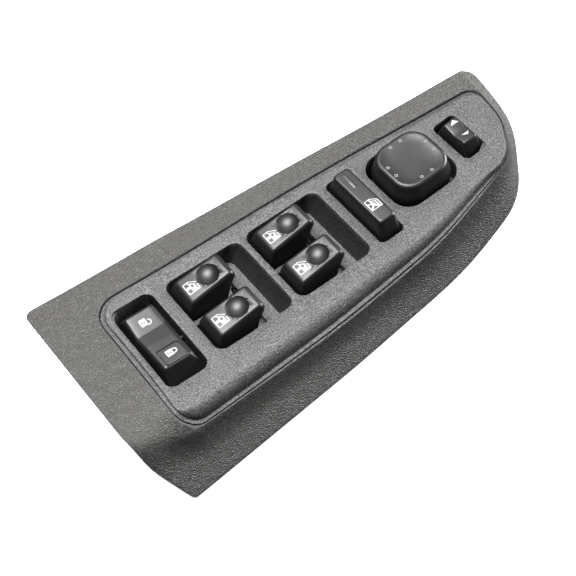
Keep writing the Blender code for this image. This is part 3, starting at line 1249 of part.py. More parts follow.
def gimbal_ring():
    """The ring between pad and carrier: bored along Y for the pad, with its own pins along X."""
    z = TOP - GIMBAL_DEPTH
    made = rod("gimbal_ring", (PAD_X, PAD_Y, z - GIMBAL_HEIGHT / 2), (PAD_X, PAD_Y, z + GIMBAL_HEIGHT / 2),
               GIMBAL_OUTER, sides=20)
    cut(made, rod("gimbal_hole", (PAD_X, PAD_Y, z - 4 * MM), (PAD_X, PAD_Y, z + 4 * MM), GIMBAL_INNER, sides=16),
        rod("gimbal_bearing", (PAD_X, PAD_Y - 12 * MM, z), (PAD_X, PAD_Y + 12 * MM, z), PIN_RADIUS + PIN_CLEAR,
            sides=PIN_SIDES))
    for sign in (-1, 1):
        join(made, rod("gimbal_pin_%+d" % sign, (PAD_X + sign * (GIMBAL_OUTER - 1.5 * MM), PAD_Y, z),
                       (PAD_X + sign * (CARRIER_EAR + EAR_THICK), PAD_Y, z), PIN_RADIUS, sides=PIN_SIDES))
    follow_crown(made)
    set_origin(made, (PAD_X, PAD_Y, z))
    return made


def gimbal_carrier():
    """The frame under the pad's well, with two bearing ears and holes for the pad's feet."""
    top = WALL_FOOT - CLEAR
    outline = rounded_rectangle(PAD_X, PAD_Y, 2 * CARRIER_HALF, 2 * CARRIER_HALF, 3.0 * MM)
    right = PAD_X + PAD_WELL / 2 + WELL_WALL
    outline[2] = (right, PAD_Y - CARRIER_HALF + 5.5 * MM, 8.0 * MM)
    outline[3] = (right, PAD_Y + CARRIER_HALF - 5.5 * MM, 8.0 * MM)
    made = outline_solid("gimbal_carrier", rounded(outline, 3), top - CARRIER_THICK, top)
    z = TOP - GIMBAL_DEPTH
    for sign in (-1, 1):
        near, far = sorted((PAD_X + sign * CARRIER_EAR, PAD_X + sign * (CARRIER_EAR + EAR_THICK)))
        join(made, block("ear_%+d" % sign, (near, PAD_Y - EAR_HALF, top - 1 * MM),
                         (far, PAD_Y + EAR_HALF, z + EAR_HALF)))
    cut(made, rod("carrier_hole", (PAD_X, PAD_Y, top - 5 * MM), (PAD_X, PAD_Y, top + 5 * MM),
                  GIMBAL_OUTER + 0.6 * MM, sides=18),
        rod("ear_bore", (PAD_X - 14 * MM, PAD_Y, z), (PAD_X + 14 * MM, PAD_Y, z), PIN_RADIUS + PIN_CLEAR,
            sides=PIN_SIDES))
    for sign in (-1, 1):
        for other in (-1, 1):
            x, y = PAD_X + sign * PAD_FOOT_OFFSET, PAD_Y + other * PAD_FOOT_OFFSET
            cut(made, rod("foot_hole_%+d_%+d" % (sign, other), (x, y, top - 4 * MM), (x, y, top + 2 * MM),
                          PAD_FOOT_HOLE, sides=BOSS_SIDES))
        x, y = PAD_X - CARRIER_SCREW, PAD_Y + sign * CARRIER_SCREW
        cut(made, rod("carrier_screw_hole_%+d" % sign, (x, y, top - 4 * MM), (x, y, top + 2 * MM),
                      TAB_SHANK + CLEAR, sides=THREAD_SIDES))
    follow_crown(made)
    return made


# Housing, board, mat and connectors

def housing():
    """The module housing: an open tray with screw columns, board posts and connector mouths."""
    top = WALL_FOOT - CLEAR
    made = outline_solid("lower_housing", rounded(HOUSING_CORNERS, 4), 0.0, top)
    tray = outline_solid("housing_inside", rounded(inset(HOUSING_CORNERS, HOUSING_WALL), 4), HOUSING_FLOOR,
                         top + 5 * MM)
    cut(made, tray)
    for index, (x, y) in enumerate(CASE_SCREWS):
        join(made, rod("column_%d" % index, (x, y, 0.6 * MM), (x, y, BOSS_FOOT - CLEAR), COLUMN_RADIUS,
                       sides=BOSS_SIDES))
    for index, (x, y) in enumerate(board_posts()):
        join(made, rod("post_%d" % index, (x, y, 1 * MM), (x, y, BOARD_TOP - BOARD_THICK - CLEAR), POST_RADIUS,
                       sides=THREAD_SIDES))
    for index, (x, y) in enumerate(CASE_SCREWS):
        cut(made, rod("counterbore_%d" % index, (x, y, -1 * MM), (x, y, COUNTERBORE), SCREW_HEAD + CLEAR,
                      sides=SCREW_SIDES + 2),
            rod("clearance_%d" % index, (x, y, COUNTERBORE - 1 * MM), (x, y, BOSS_FOOT + 1 * MM),
                SCREW_SHANK + CLEAR, sides=THREAD_SIDES))
    for index, (x, length) in enumerate(zip(HEADER_X, HEADER_LENGTHS)):
        half_x, half_y = length / 2 + CLEAR, HEADER_WIDTH / 2 + CLEAR
        cut(made, block("mouth_%d" % index, (x - half_x, HEADER_Y - half_y, -1 * MM),
                        (x + half_x, HEADER_Y + half_y, HOUSING_FLOOR + 1 * MM)))
    follow_crown(made)
    return made


def board_posts():
    """Posts that carry the board."""
    return ((LOCK_X - 6 * MM, LOCK_Y - 20 * MM), (LOCK_X - 6 * MM, LOCK_Y + 20 * MM),
            (BAR_X, BAR_Y - 16 * MM), (BAR_X, BAR_Y + 18 * MM),
            (SELECTOR_X, SELECTOR_Y - 8 * MM), (SELECTOR_X, SELECTOR_Y + 10 * MM))


def circuit_board():
    """The board, with holes for the screw columns."""
    outline = rounded(inset(HOUSING_CORNERS, HOUSING_WALL + BOARD_INSET), 2)
    made = outline_solid("circuit_board", outline, BOARD_TOP - BOARD_THICK, BOARD_TOP)
    for index, (x, y) in enumerate(CASE_SCREWS):
        cut(made, rod("board_hole_%d" % index, (x, y, BOARD_TOP - 4 * MM), (x, y, BOARD_TOP + 2 * MM),
                      COLUMN_RADIUS + BOARD_HOLE_CLEAR, sides=THREAD_SIDES))
    return made


def dome_spots():
    """Plan positions of every dome: one under each foot."""
    spots = []
    for left in (REAR_LEFT, FRONT_LEFT):
        for y in key_centres(left):
            spots += [(x, y) for x in key_feet(left)]
    spots += [(LOCK_X, LOCK_Y + sign * LOCK_FOOT_Y) for sign in (-1, 1)]
    spots += [(SELECTOR_X, SELECTOR_Y + sign * SELECTOR_FOOT_Y) for sign in (-1, 1)]
    spots += [(PAD_X + a * PAD_FOOT_OFFSET, PAD_Y + b * PAD_FOOT_OFFSET) for a in (-1, 1) for b in (-1, 1)]
    return spots


def dome_mat():
    """The silicone key mat: a thin sheet with a dome under each foot."""
    low = BOARD_TOP + CLEAR
    outline = rounded(inset(HOUSING_CORNERS, HOUSING_WALL + BOARD_INSET + 1.0 * MM), 2)
    made = outline_solid("dome_mat", outline, low, low + MAT_THICK)
    for index, (x, y) in enumerate(dome_spots()):
        join(made, rod("dome_%d" % index, (x, y, low + MAT_THICK / 2), (x, y, low + MAT_THICK + DOME_HEIGHT),
                       DOME_BASE, DOME_TIP, sides=DOME_SIDES))
    for index, (x, y) in enumerate(CASE_SCREWS):
        cut(made, rod("mat_hole_%d" % index, (x, y, low - 2 * MM), (x, y, low + 3 * MM),
                      COLUMN_RADIUS + BOARD_HOLE_CLEAR, sides=THREAD_SIDES))
    cut(made, block("mat_window", (BAR_X - 5 * MM, BAR_Y - 10 * MM, low - 2 * MM),
                    (BAR_X + 5 * MM, BAR_Y + LENS_Y + 4 * MM, low + 3 * MM)))
    return made


def header(index):
    """A connector header: shroud open downwards, with two rows of pins."""
    x, length = HEADER_X[index], HEADER_LENGTHS[index]
    top, low = BOARD_TOP - BOARD_THICK - CLEAR, 0.4 * MM
    name = ("main", "mirror")[index] + "_connector"
    made = block(name, (x - length / 2, HEADER_Y - HEADER_WIDTH / 2, low),
                 (x + length / 2, HEADER_Y + HEADER_WIDTH / 2, top))
    half_x, half_y = length / 2 - HEADER_WALL, HEADER_WIDTH / 2 - HEADER_WALL
    cut(made, block(name + "_cavity", (x - half_x, HEADER_Y - half_y, low - 1 * MM),
                    (x + half_x, HEADER_Y + half_y, low + HEADER_CAVITY)))
    columns = int((2 * half_x - 4 * MM) // PIN_PITCH) + 1
    for column in range(columns):
        for row in (-1, 1):
            px = x + (column - (columns - 1) / 2) * PIN_PITCH
            py = HEADER_Y + row * 2.2 * MM
            join(made, block("%s_pin_%d_%+d" % (name, column, row),
                             (px - 0.4 * MM, py - 0.4 * MM, low + HEADER_CAVITY - HEADER_PIN),
                             (px + 0.4 * MM, py + 0.4 * MM, low + HEADER_CAVITY + 0.6 * MM)))
    return made


# Fasteners

def screw(name, x, y, seat, length, shank=SCREW_SHANK, head=SCREW_HEAD):
    """A pan head screw whose head bears upwards at seat, with a cross recess."""
    made = rod(name, (x, y, seat - CLEAR - SCREW_HEAD_HEIGHT), (x, y, seat - CLEAR), head * 0.86, head,
               sides=SCREW_SIDES)
    join(made, rod(name + "_shank", (x, y, seat - CLEAR - 0.5 * MM), (x, y, seat - CLEAR + length), shank,
                   shank * 0.7, sides=6))
    low = seat - CLEAR - SCREW_HEAD_HEIGHT
    for turn, (a, b) in enumerate(((head * 0.62, 0.35 * MM), (0.35 * MM, head * 0.62))):
        cut(made, block("%s_cross_%d" % (name, turn), (x - a, y - b, low - 1 * MM),
                        (x + a, y + b, low + 1.0 * MM)))
    return made


def clip(index, x, y, turned):
    """A folded spring clip pushed over a tower."""
    half = TOWER_THICK / 2 + CLEAR
    sheet = CLIP_SHEET
    foot = TOWER_FOOT - CLEAR
    top = foot + 11.0 * MM
    spread = half + CLIP_SPREAD
    right = [(half, top), (half, foot), (-half, foot), (-half, top), (-half - sheet, top),
             (-half - sheet, foot + 7.5 * MM), (-spread, foot + 5.0 * MM), (-half - sheet, foot - sheet + 0.6 * MM),
             (-half - sheet + 0.6 * MM, foot - sheet), (half + sheet - 0.6 * MM, foot - sheet),
             (half + sheet, foot - sheet + 0.6 * MM), (spread, foot + 5.0 * MM),
             (half + sheet, foot + 7.5 * MM), (half + sheet, top)]
    centre = x if turned else y
    points = [(centre + a, b) for a, b in right]
    across = y if turned else x
    name = "trim_clip_%d" % (index + 1)
    return outline_solid(name, points, across - CLIP_WIDTH / 2, across + CLIP_WIDTH / 2,
                         "XZ" if turned else "YZ")


def build():
    """Model every piece."""
    start()
    leather = material("bezel_plastic", (0.055, 0.053, 0.050), 0.62)
    grain = material("plate_plastic", (0.042, 0.042, 0.043), 0.60)
    satin = material("key_plastic", (0.020, 0.020, 0.021), 0.42)
    case = material("case_plastic", (0.018, 0.018, 0.019), 0.55)
    nylon = material("gimbal_nylon", (0.62, 0.61, 0.57), 0.50)
    board = material("board_green", (0.020, 0.110, 0.045), 0.40)
    silicone = material("mat_silicone", (0.52, 0.53, 0.52), 0.60)
    steel = material("screw_steel", (0.55, 0.55, 0.54), 0.35, 1.0)
    spring = material("clip_steel", (0.30, 0.28, 0.22), 0.38, 1.0)
    clear = material("lens_clear", (0.35, 0.33, 0.28), 0.20)
    header_grey = material("header_plastic", (0.10, 0.10, 0.11), 0.50)

    skirt = Skirt()
    counts = STATION_COUNTS
    inner = stations(PLATE_CORNERS, (0, 1, 6), counts)
    outer = stations(BEZEL_CORNERS, (0, 2, 7), counts)
    dress(bezel(skirt, inner, outer), leather, 40.0)
    dress(plate(skirt, inner, outer), grain)
    for label, left in (("rear", REAR_LEFT), ("front", FRONT_LEFT)):
        near, far = key_centres(left)
        dress(window_key("window_key_%s_inboard" % label, left, near, 1), satin)
        dress(window_key("window_key_%s_outboard" % label, left, far, -1), satin)
    dress(lock_rocker(), satin)
    dress(lockout_button(), satin)
    dress(lockout_light_pipe(), clear)
    dress(lockout_plunger(), nylon)
    dress(lockout_switch(), case)
    dress(indicator_led(), clear)
    dress(mirror_pad(), satin)
    dress(gimbal_ring(), nylon)
    dress(gimbal_carrier(), case)
    dress(selector(), satin)
    dress(housing(), case)
    dress(circuit_board(), board)
    dress(dome_mat(), silicone)
    for index in (0, 1):
        dress(header(index), header_grey)
    for index, (x, y) in enumerate(CASE_SCREWS):
        dress(screw("case_screw_%d" % (index + 1), x, y, COUNTERBORE, 17.0 * MM), steel)
    for index, x in enumerate(TAB_SCREWS_X):
        y, top = tab_spot(x)
        made = screw("bezel_screw_%d" % (index + 1), x, y, top - TAB_THICK, 6.5 * MM, TAB_SHANK, TAB_HEAD)
        dress(made, steel)
    for index, sign in enumerate((-1, 1)):
        x, y = PAD_X - CARRIER_SCREW, PAD_Y + sign * CARRIER_SCREW
        seat = WALL_FOOT - CLEAR - CARRIER_THICK + crown(x)
        dress(screw("carrier_screw_%d" % (index + 1), x, y, seat, 8.0 * MM, TAB_SHANK, TAB_HEAD), steel)
    for index, (x, y, turned) in enumerate(TOWERS):
        dress(clip(index, x, y, turned), spring)
    bpy.context.view_layer.update()


build()
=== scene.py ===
"""A driver's door switch panel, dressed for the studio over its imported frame.

Every size is in metres in the frame's own axes: +X towards the mirror switch, +Y towards the straight
edge beside the glass, and +Z up, with the origin on the flat underside of the module housing.
"""

import logging
import math
from collections.abc import Callable, Sequence
from dataclasses import dataclass, field
from enum import Enum

import bmesh
import bpy
from mathutils import Matrix, Vector
from mathutils.bvhtree import BVHTree


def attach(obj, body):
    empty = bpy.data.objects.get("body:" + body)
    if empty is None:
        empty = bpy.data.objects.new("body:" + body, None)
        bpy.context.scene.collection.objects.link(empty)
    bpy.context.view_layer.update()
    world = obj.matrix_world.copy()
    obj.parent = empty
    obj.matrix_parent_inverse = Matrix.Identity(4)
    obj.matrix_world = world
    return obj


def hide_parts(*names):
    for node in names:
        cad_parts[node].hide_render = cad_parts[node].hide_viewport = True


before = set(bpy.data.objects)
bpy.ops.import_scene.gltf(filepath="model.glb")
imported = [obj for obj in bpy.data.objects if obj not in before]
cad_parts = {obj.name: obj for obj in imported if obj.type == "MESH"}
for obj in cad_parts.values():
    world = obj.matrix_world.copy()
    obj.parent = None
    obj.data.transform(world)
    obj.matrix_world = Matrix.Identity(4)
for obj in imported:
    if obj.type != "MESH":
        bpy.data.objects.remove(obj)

MM = 0.001
LOG = logging.getLogger("door_switch")
Corner = tuple[float, float, float]
Ring = list[Vector]


class Axis(Enum):
    """The axis that a profile is drawn across."""

    X = 0
    Y = 1
    Z = 2


# Plan geometry


@dataclass(frozen=True)
class Crown:
    """The dish of the whole top along X.

    Attributes:
        top: height of the plate surface at the middle.
        radius: radius of the dish.
    """

    top: float = 38.0 * MM
    radius: float = 1196.0 * MM

    def rise(self, x: float) -> float:
        """Height of the dish at x above its lowest line."""
        return x * x / (2 * self.radius)


CROWN = Crown()
TOP = CROWN.top


def smooth(value: float) -> float:
    """Ease a share from 0 to 1."""
    value = max(0.0, min(1.0, value))
    return value * value * (3 - 2 * value)


def rounded(corners: Sequence[Corner], steps: int = 10, closed: bool = True) -> list[Vector]:
    """Round the corners of an outline by arcs.

    Args:
        corners: points as (a, b, radius).
        steps: arc segments at each corner.
        closed: whether the last corner joins the first.

    Returns:
        The points of the rounded outline.
    """
    points: list[Vector] = []
    count = len(corners)
    for index, (a, b, radius) in enumerate(corners):
        here = Vector((a, b))
        if radius <= 0 or (not closed and index in (0, count - 1)):
            points.append(here)
            continue
        before = Vector(corners[index - 1][:2])
        after = Vector(corners[(index + 1) % count][:2])
        back, ahead = (before - here).normalized(), (after - here).normalized()
        half = back.angle(ahead) / 2
        reach = min(radius / math.tan(half), 0.49 * (before - here).length, 0.49 * (after - here).length)
        true_radius = reach * math.tan(half)
        centre = here + (back + ahead).normalized() * (true_radius / math.sin(half))
        arm, last_arm = here + back * reach - centre, here + ahead * reach - centre
        sweep = arm.angle_signed(last_arm)
        for step in range(steps + 1):
            turned = arm.copy()
            turned.rotate(Matrix.Rotation(-sweep * step / steps, 2))
            points.append(centre + turned)
    return points


def box_corners(x: float, y: float, width: float, length: float, radius: float) -> list[Corner]:
    """Corners of a rounded rectangle centred at x, y."""
    a, b = width / 2, length / 2
    return [(x - a, y + b, radius), (x - a, y - b, radius), (x + a, y - b, radius), (x + a, y + b, radius)]


def spaced(points: Sequence[Vector], count: int) -> list[Vector]:
    """Points along an open line, a little closer together at its ends, without the last one.

    Args:
        points: the open line.
        count: how many steps it is divided into.

    Returns:
        One point for each step, from the line's start.
    """
    lengths = [0.0]
    for first, second in zip(points, points[1:]):
        lengths.append(lengths[-1] + (second - first).length)
    result = []
    index = 0
    for step in range(count):
        share = step / count
        target = (share - 0.75 * math.sin(2 * math.pi * share) / (2 * math.pi)) * lengths[-1]
        while lengths[index + 1] < target:
            index += 1
        span = lengths[index + 1] - lengths[index]
        result.append(points[index].lerp(points[index + 1], (target - lengths[index]) / span))
    return result


def stations(corners: Sequence[Corner], anchors: Sequence[int], counts: Sequence[int]) -> list[Vector]:
    """Matched stations round an outline.

    Args:
        corners: the outline's corners.
        anchors: corners whose middles start each stretch.
        counts: steps in each stretch.

    Returns:
        One point for each station.
    """
    fine = 24
    points = rounded(corners, fine)
    marks = [corner * (fine + 1) + fine // 2 for corner in anchors]
    result: list[Vector] = []
    for place, count in enumerate(counts):
        first, last = marks[place], marks[(place + 1) % len(marks)]
        stretch = points[first:] + points[:last + 1] if last <= first else points[first:last + 1]
        result += spaced(stretch, count)
    return result


def nearest(line: Sequence[Vector], point: Vector) -> tuple[float, float]:
    """Signed distance from a line, positive on its right, and how far along it the foot lies.

    Args:
        line: the points of an open line.
        point: a plan point.

    Returns:
        The signed distance, and the length walked to the foot.
    """
    best = (1e9, 1.0, 0.0)
    walked = 0.0
    for first, second in zip(line, line[1:]):
        run = second - first
        length = run.length
        share = max(0.0, min(1.0, (point - first).dot(run) / (length * length)))
        away = point - (first + run * share)
        if away.length < best[0]:
            side = -1.0 if run.x * away.y - run.y * away.x > 0 else 1.0
            best = (away.length, side, walked + share * length)
        walked += length
    return best[0] * best[1], best[2]


@dataclass(frozen=True)
class Row:
    """Places of the wells along the plate, from the lock rocker to the mirror selector."""

    left: float = -91.8 * MM
    far: float = 33.2 * MM
    near: float = -40.9 * MM
    bezel_left: float = -115.6 * MM
    lock: float = -86.9 * MM
    lock_width: float = 21.1 * MM
    lock_length: float = 47.8 * MM
    lock_y: float = 1.4 * MM
    rear: float = -59.8 * MM
    front: float = -16.7 * MM
    window_width: float = 40.0 * MM
    window_length: float = 43.6 * MM
    window_y: float = 1.8 * MM
    bar: float = 27.9 * MM
    bar_width: float = 13.5 * MM
    bar_length: float = 42.0 * MM
    bar_y: float = 0.9 * MM
    pad: float = 46.3 * MM
    pad_well: float = 34.6 * MM
    pad_y: float = 3.0 * MM
    selector: float = 85.5 * MM
    selector_width: float = 12.6 * MM
    selector_length: float = 24.8 * MM
    selector_y: float = 2.2 * MM
    nose: float = 116.3 * MM

    @property
    def lock_x(self) -> float:
        """Middle of the lock well."""
        return self.lock + self.lock_width / 2

    @property
    def bar_x(self) -> float:
        """Middle of the lock-out well."""
        return self.bar + self.bar_width / 2

    @property
    def pad_x(self) -> float:
        """Middle of the mirror pad's well."""
        return self.pad + self.pad_well / 2

    @property
    def selector_x(self) -> float:
        """Middle of the selector's well."""
        return self.selector + self.selector_width / 2

    def plate_corners(self) -> list[Corner]:
        """Corners of the plate's outer edge.

        Returns:
            Corners as (x, y, radius), anticlockwise from the far left.
        """
        return [
            (self.left, self.far, 12.0 * MM),
            (self.left, self.near, 9.0 * MM),
            (self.front + 7.0 * MM, self.near + 3.3 * MM, 600.0 * MM),
            (self.pad + 4.0 * MM, self.near + 7.9 * MM, 200.0 * MM),
            (self.nose - 12.4 * MM, self.near + 20.4 * MM, 25.0 * MM),
            (self.nose - 2.8 * MM, self.far - 34.7 * MM, 30.0 * MM),
            (self.nose, self.far - 12.8 * MM, 7.0 * MM),
            (self.bar, self.far - 1.6 * MM, 1000.0 * MM),
        ]

    def bezel_corners(self) -> list[Corner]:
        """Corners of the bezel's outer edge in plan.

        Returns:
            Corners as (x, y, radius), anticlockwise from the far left.
        """
        return [
            (self.bezel_left, self.far + 14.6 * MM, 4.0 * MM),
            (self.bezel_left + 1.2 * MM, self.near + 3.5 * MM, 30.0 * MM),
            (self.bezel_left + 13.6 * MM, self.near - 15.3 * MM, 2.5 * MM),
            (self.front + 7.0 * MM, self.near - 8.4 * MM, 800.0 * MM),
            (self.pad + 4.0 * MM, self.near - 1.9 * MM, 250.0 * MM),
            (self.nose - 16.4 * MM, self.near + 8.7 * MM, 30.0 * MM),
            (self.nose + 3.4 * MM, self.far - 38.0 * MM, 40.0 * MM),
            (self.nose + 6.5 * MM, self.far - 2.2 * MM, 6.0 * MM),
            (self.front + 37.0 * MM, self.far + 9.5 * MM, 900.0 * MM),
            (self.rear + 10.0 * MM, self.far + 13.8 * MM, 500.0 * MM),
        ]

    def lip_corners(self) -> list[Corner]:
        """Corners of the lip's line on the near side, drawn on beyond the plate.

        Returns:
            Corners as (x, y, radius), from the left end to the nose.
        """
        return [
            (self.bezel_left - 40.0 * MM, self.near + 8.4 * MM, 0.0),
            (self.bezel_left + 4.0 * MM, self.near + 8.4 * MM, 60.0 * MM),
            (self.left + 3.0 * MM, self.near + 0.2 * MM, 20.0 * MM),
            (self.front + 7.0 * MM, self.near + 3.3 * MM, 600.0 * MM),
            (self.pad + 4.0 * MM, self.near + 7.9 * MM, 200.0 * MM),
            (self.nose - 12.4 * MM, self.near + 20.4 * MM, 25.0 * MM),
            (self.nose - 2.8 * MM, self.far - 34.7 * MM, 30.0 * MM),
            (self.nose, self.far - 12.8 * MM, 20.0 * MM),
            (self.nose + 3.0 * MM, self.far + 10.0 * MM, 0.0),
        ]

    def housing_corners(self) -> list[Corner]:
        """Corners of the rim wall that meets the housing.

        Returns:
            Corners as (x, y, radius), anticlockwise from the far left.
        """
        return [
            (self.lock - 1.4 * MM, self.far - 5.0 * MM, 9.0 * MM),
            (self.lock - 1.4 * MM, self.near + 12.4 * MM, 3.0 * MM),
            (self.pad - 1.5 * MM, self.near + 15.9 * MM, 60.0 * MM),
            (self.selector - 0.8 * MM, self.near + 24.2 * MM, 20.0 * MM),
            (self.nose - 7.6 * MM, self.far - 36.4 * MM, 8.0 * MM),
            (self.nose - 7.6 * MM, self.far - 18.0 * MM, 4.0 * MM),
            (self.front + 47.0 * MM, self.far - 6.4 * MM, 80.0 * MM),
        ]


ROW = Row()
PLATE_COUNTS = (44, 150, 76)
PLATE_ANCHORS = (0, 1, 6)
BEZEL_ANCHORS = (0, 2, 7)
TAB_XS = (ROW.rear, ROW.front + 12.0 * MM, ROW.bar + 13.0 * MM)
TAB_HOLE_IN = 5.8 * MM
SCREW_HOLE = 1.3 * MM
KEY_PIVOT_X = 10.8 * MM
PIVOT_DEPTH = 8.7 * MM
PIN_RADIUS = 1.2 * MM
BEARING_RADIUS = 1.5 * MM
ROCKER_DEPTH = 10.4 * MM
FOOT_LOW = 16.8 * MM
FOOT_HALF = 1.4 * MM
SIGN_LOW = TOP + 30 * MM
SIGN_HIGH = TOP + 30.2 * MM


@dataclass
class SkirtSurface:
    """The bezel's top surface: flat inside, rolling to the lip, and falling outside it to the foot."""

    side: tuple[tuple[float, float], ...] = (
        (0.0, 0.0), (0.05, 0.03), (0.10, 0.10), (0.17, 0.24), (0.26, 0.39), (0.40, 0.56),
        (0.60, 0.72), (0.80, 0.865), (1.0, 1.0))
    end: tuple[tuple[float, float], ...] = (
        (0.0, 0.0), (0.05, 0.015), (0.10, 0.055), (0.17, 0.135), (0.26, 0.28), (0.40, 0.475),
        (0.60, 0.665), (0.80, 0.84), (1.0, 1.0))
    foot_height: float = 14.0 * MM
    lip_fall: float = 6.0 * MM
    lip_fade: float = 0.8
    fade_power: float = 2.6
    roll_width: float = 8.5 * MM
    end_blend: float = 20.0 * MM
    lip: list[Vector] = field(default_factory=list)
    foot: list[Vector] = field(default_factory=list)
    rise_from: float = 0.0
    rise_to: float = 1.0

    def __post_init__(self) -> None:
        """Lay out the lip line and the foot line."""
        self.lip = rounded(ROW.lip_corners(), 10, closed=False)
        foot = ROW.bezel_corners()[2:8]
        foot[0] = (ROW.bezel_left - 30.0 * MM, ROW.near - 18.4 * MM, 0.0)
        self.foot = rounded(foot, 10, closed=False)
        self.rise_from = nearest(self.foot, Vector((ROW.pad + 13.0 * MM, ROW.near)))[1]
        self.rise_to = nearest(self.foot, Vector(ROW.bezel_corners()[7][:2]))[1]

    def lip_drop(self, x: float) -> float:
        """Fall of the lip line below the crown at x.

        Args:
            x: place along the part.

        Returns:
            The fall in metres.
        """
        along = max(0.0, min(1.0, (x - ROW.left) / (ROW.nose - ROW.left)))
        begin = smooth((x - ROW.bezel_left - 2.0 * MM) / (ROW.left - ROW.bezel_left + 2.0 * MM))
        finish = 1.0 - smooth((along - 0.96) / 0.06)
        return self.lip_fall * begin * finish * (1.0 - self.lip_fade * along ** self.fade_power)

    @staticmethod
    def section(rows: tuple[tuple[float, float], ...], share: float) -> float:
        """The skirt's fall at a share of its width, as a smooth line through a table's rows.

        Args:
            rows: (share of the width, share of the fall) pairs.
            share: share of the skirt's width, from the lip out.

        Returns:
            The share of the fall there.
        """
        index = next(i for i in range(len(rows) - 1) if share <= rows[i + 1][0] or i == len(rows) - 2)
        (x0, y0), (x1, y1) = rows[index], rows[index + 1]
        before, after = rows[max(index - 1, 0)], rows[min(index + 2, len(rows) - 1)]
        slope0 = (y1 - before[1]) / (x1 - before[0])
        slope1 = (after[1] - y0) / (after[0] - x0)
        width = x1 - x0
        t = (share - x0) / width
        return ((2 * t ** 3 - 3 * t ** 2 + 1) * y0 + (t ** 3 - 2 * t ** 2 + t) * width * slope0
                + (-2 * t ** 3 + 3 * t ** 2) * y1 + (t ** 3 - t ** 2) * width * slope1)

    def height(self, x: float, y: float) -> float:
        """Height of the surface at a plan position.

        Args:
            x: place along the part.
            y: place across it.

        Returns:
            The height above the base, with the crown.
        """
        point = Vector((x, y))
        top = TOP + CROWN.rise(x)
        drop = self.lip_drop(x)
        out, _ = nearest(self.lip, point)
        if out <= 0:
            return top - drop * max(0.0, 1.0 + out / self.roll_width) ** 2
        left, walked = nearest(self.foot, point)
        share = out / (out - left) if left < 0 else 1.0
        rise = smooth((walked - self.rise_from) / (self.rise_to - self.rise_from))
        edge = self.foot_height + (TOP + CROWN.rise(ROW.nose) - 1.5 * MM - self.foot_height) * rise
        end = smooth((ROW.left - x) / self.end_blend)
        fall = self.section(self.side, share) * (1.0 - end) + self.section(self.end, share) * end
        return top - drop - max(top - drop - edge, 0.0) * fall

    def normal(self, x: float, y: float) -> Vector:
        """Unit normal of the surface.

        Args:
            x: place along the part.
            y: place across it.

        Returns:
            The unit vector, pointing up.
        """
        step = 0.3 * MM
        across = (self.height(x + step, y) - self.height(x - step, y)) / (2 * step)
        along = (self.height(x, y + step) - self.height(x, y - step)) / (2 * step)
        return Vector((-across, -along, 1.0)).normalized()


# Modelling moves


def deselect() -> None:
    """Leave edit mode and deselect everything."""
    if bpy.context.object and bpy.context.object.mode != "OBJECT":
        bpy.ops.object.mode_set(mode="OBJECT")
    bpy.ops.object.select_all(action="DESELECT")


def pick(item: bpy.types.Object) -> bpy.types.Object:
    """Make one object the only selected and active one.

    Args:
        item: the object.

    Returns:
        The same object.
    """
    deselect()
    item.select_set(True)
    bpy.context.view_layer.objects.active = item
    return item


def settle(item: bpy.types.Object, name: str) -> bpy.types.Object:
    """Name an object and put its place into its mesh.

    Args:
        item: the object.
        name: its new name, and its mesh's.

    Returns:
        The same object, at the origin, unturned and unscaled.
    """
    pick(item)
    item.name = name
    item.data.name = name
    bpy.ops.object.transform_apply(location=True, rotation=True, scale=True)
    return item


def loft(name: str, rings: Sequence[Sequence[Vector]], closed: bool = False) -> bpy.types.Object:
    """Model a tube by extruding a circle ring by ring.

    Args:
        name: the object's name.
        rings: rings with equal numbers of points.
        closed: join the last ring to the first, in place of two end faces.

    Returns:
        The new object, with its faces pointing out.
    """
    deselect()
    bpy.ops.mesh.primitive_circle_add(vertices=len(rings[0]), radius=10 * MM)
    item = bpy.context.object
    item.name = name
    bpy.ops.object.mode_set(mode="EDIT")
    mesh = bmesh.from_edit_mesh(item.data)
    station = mesh.verts.layers.int.new("station")
    for index, vertex in enumerate(mesh.verts):
        vertex[station] = index
        vertex.co = rings[0][index]
    mesh.verts.layers.int.new("level")
    bpy.ops.mesh.select_all(action="SELECT")
    for place, ring in enumerate(rings[1:], start=1):
        bpy.ops.mesh.extrude_edges_move()
        mesh = bmesh.from_edit_mesh(item.data)
        station, level = mesh.verts.layers.int["station"], mesh.verts.layers.int["level"]
        for vertex in mesh.verts:
            if vertex.select:
                vertex.co = ring[vertex[station]]
                vertex[level] = place
    for wanted in ((0, len(rings) - 1),) if closed else ((0,), (len(rings) - 1,)):
        bpy.ops.mesh.select_all(action="DESELECT")
        mesh = bmesh.from_edit_mesh(item.data)
        level = mesh.verts.layers.int["level"]
        for edge in mesh.edges:
            first, second = edge.verts
            edge.select_set(first[level] == second[level] and first[level] in wanted)
        bmesh.update_edit_mesh(item.data)
        if closed:
            bpy.ops.mesh.bridge_edge_loops()
        else:
            bpy.ops.mesh.edge_face_add()
    bpy.ops.mesh.select_all(action="SELECT")
    bpy.ops.mesh.normals_make_consistent(inside=False)
    bpy.ops.object.mode_set(mode="OBJECT")
    for label in ("station", "level"):
        item.data.attributes.remove(item.data.attributes[label])
    return settle(item, name)


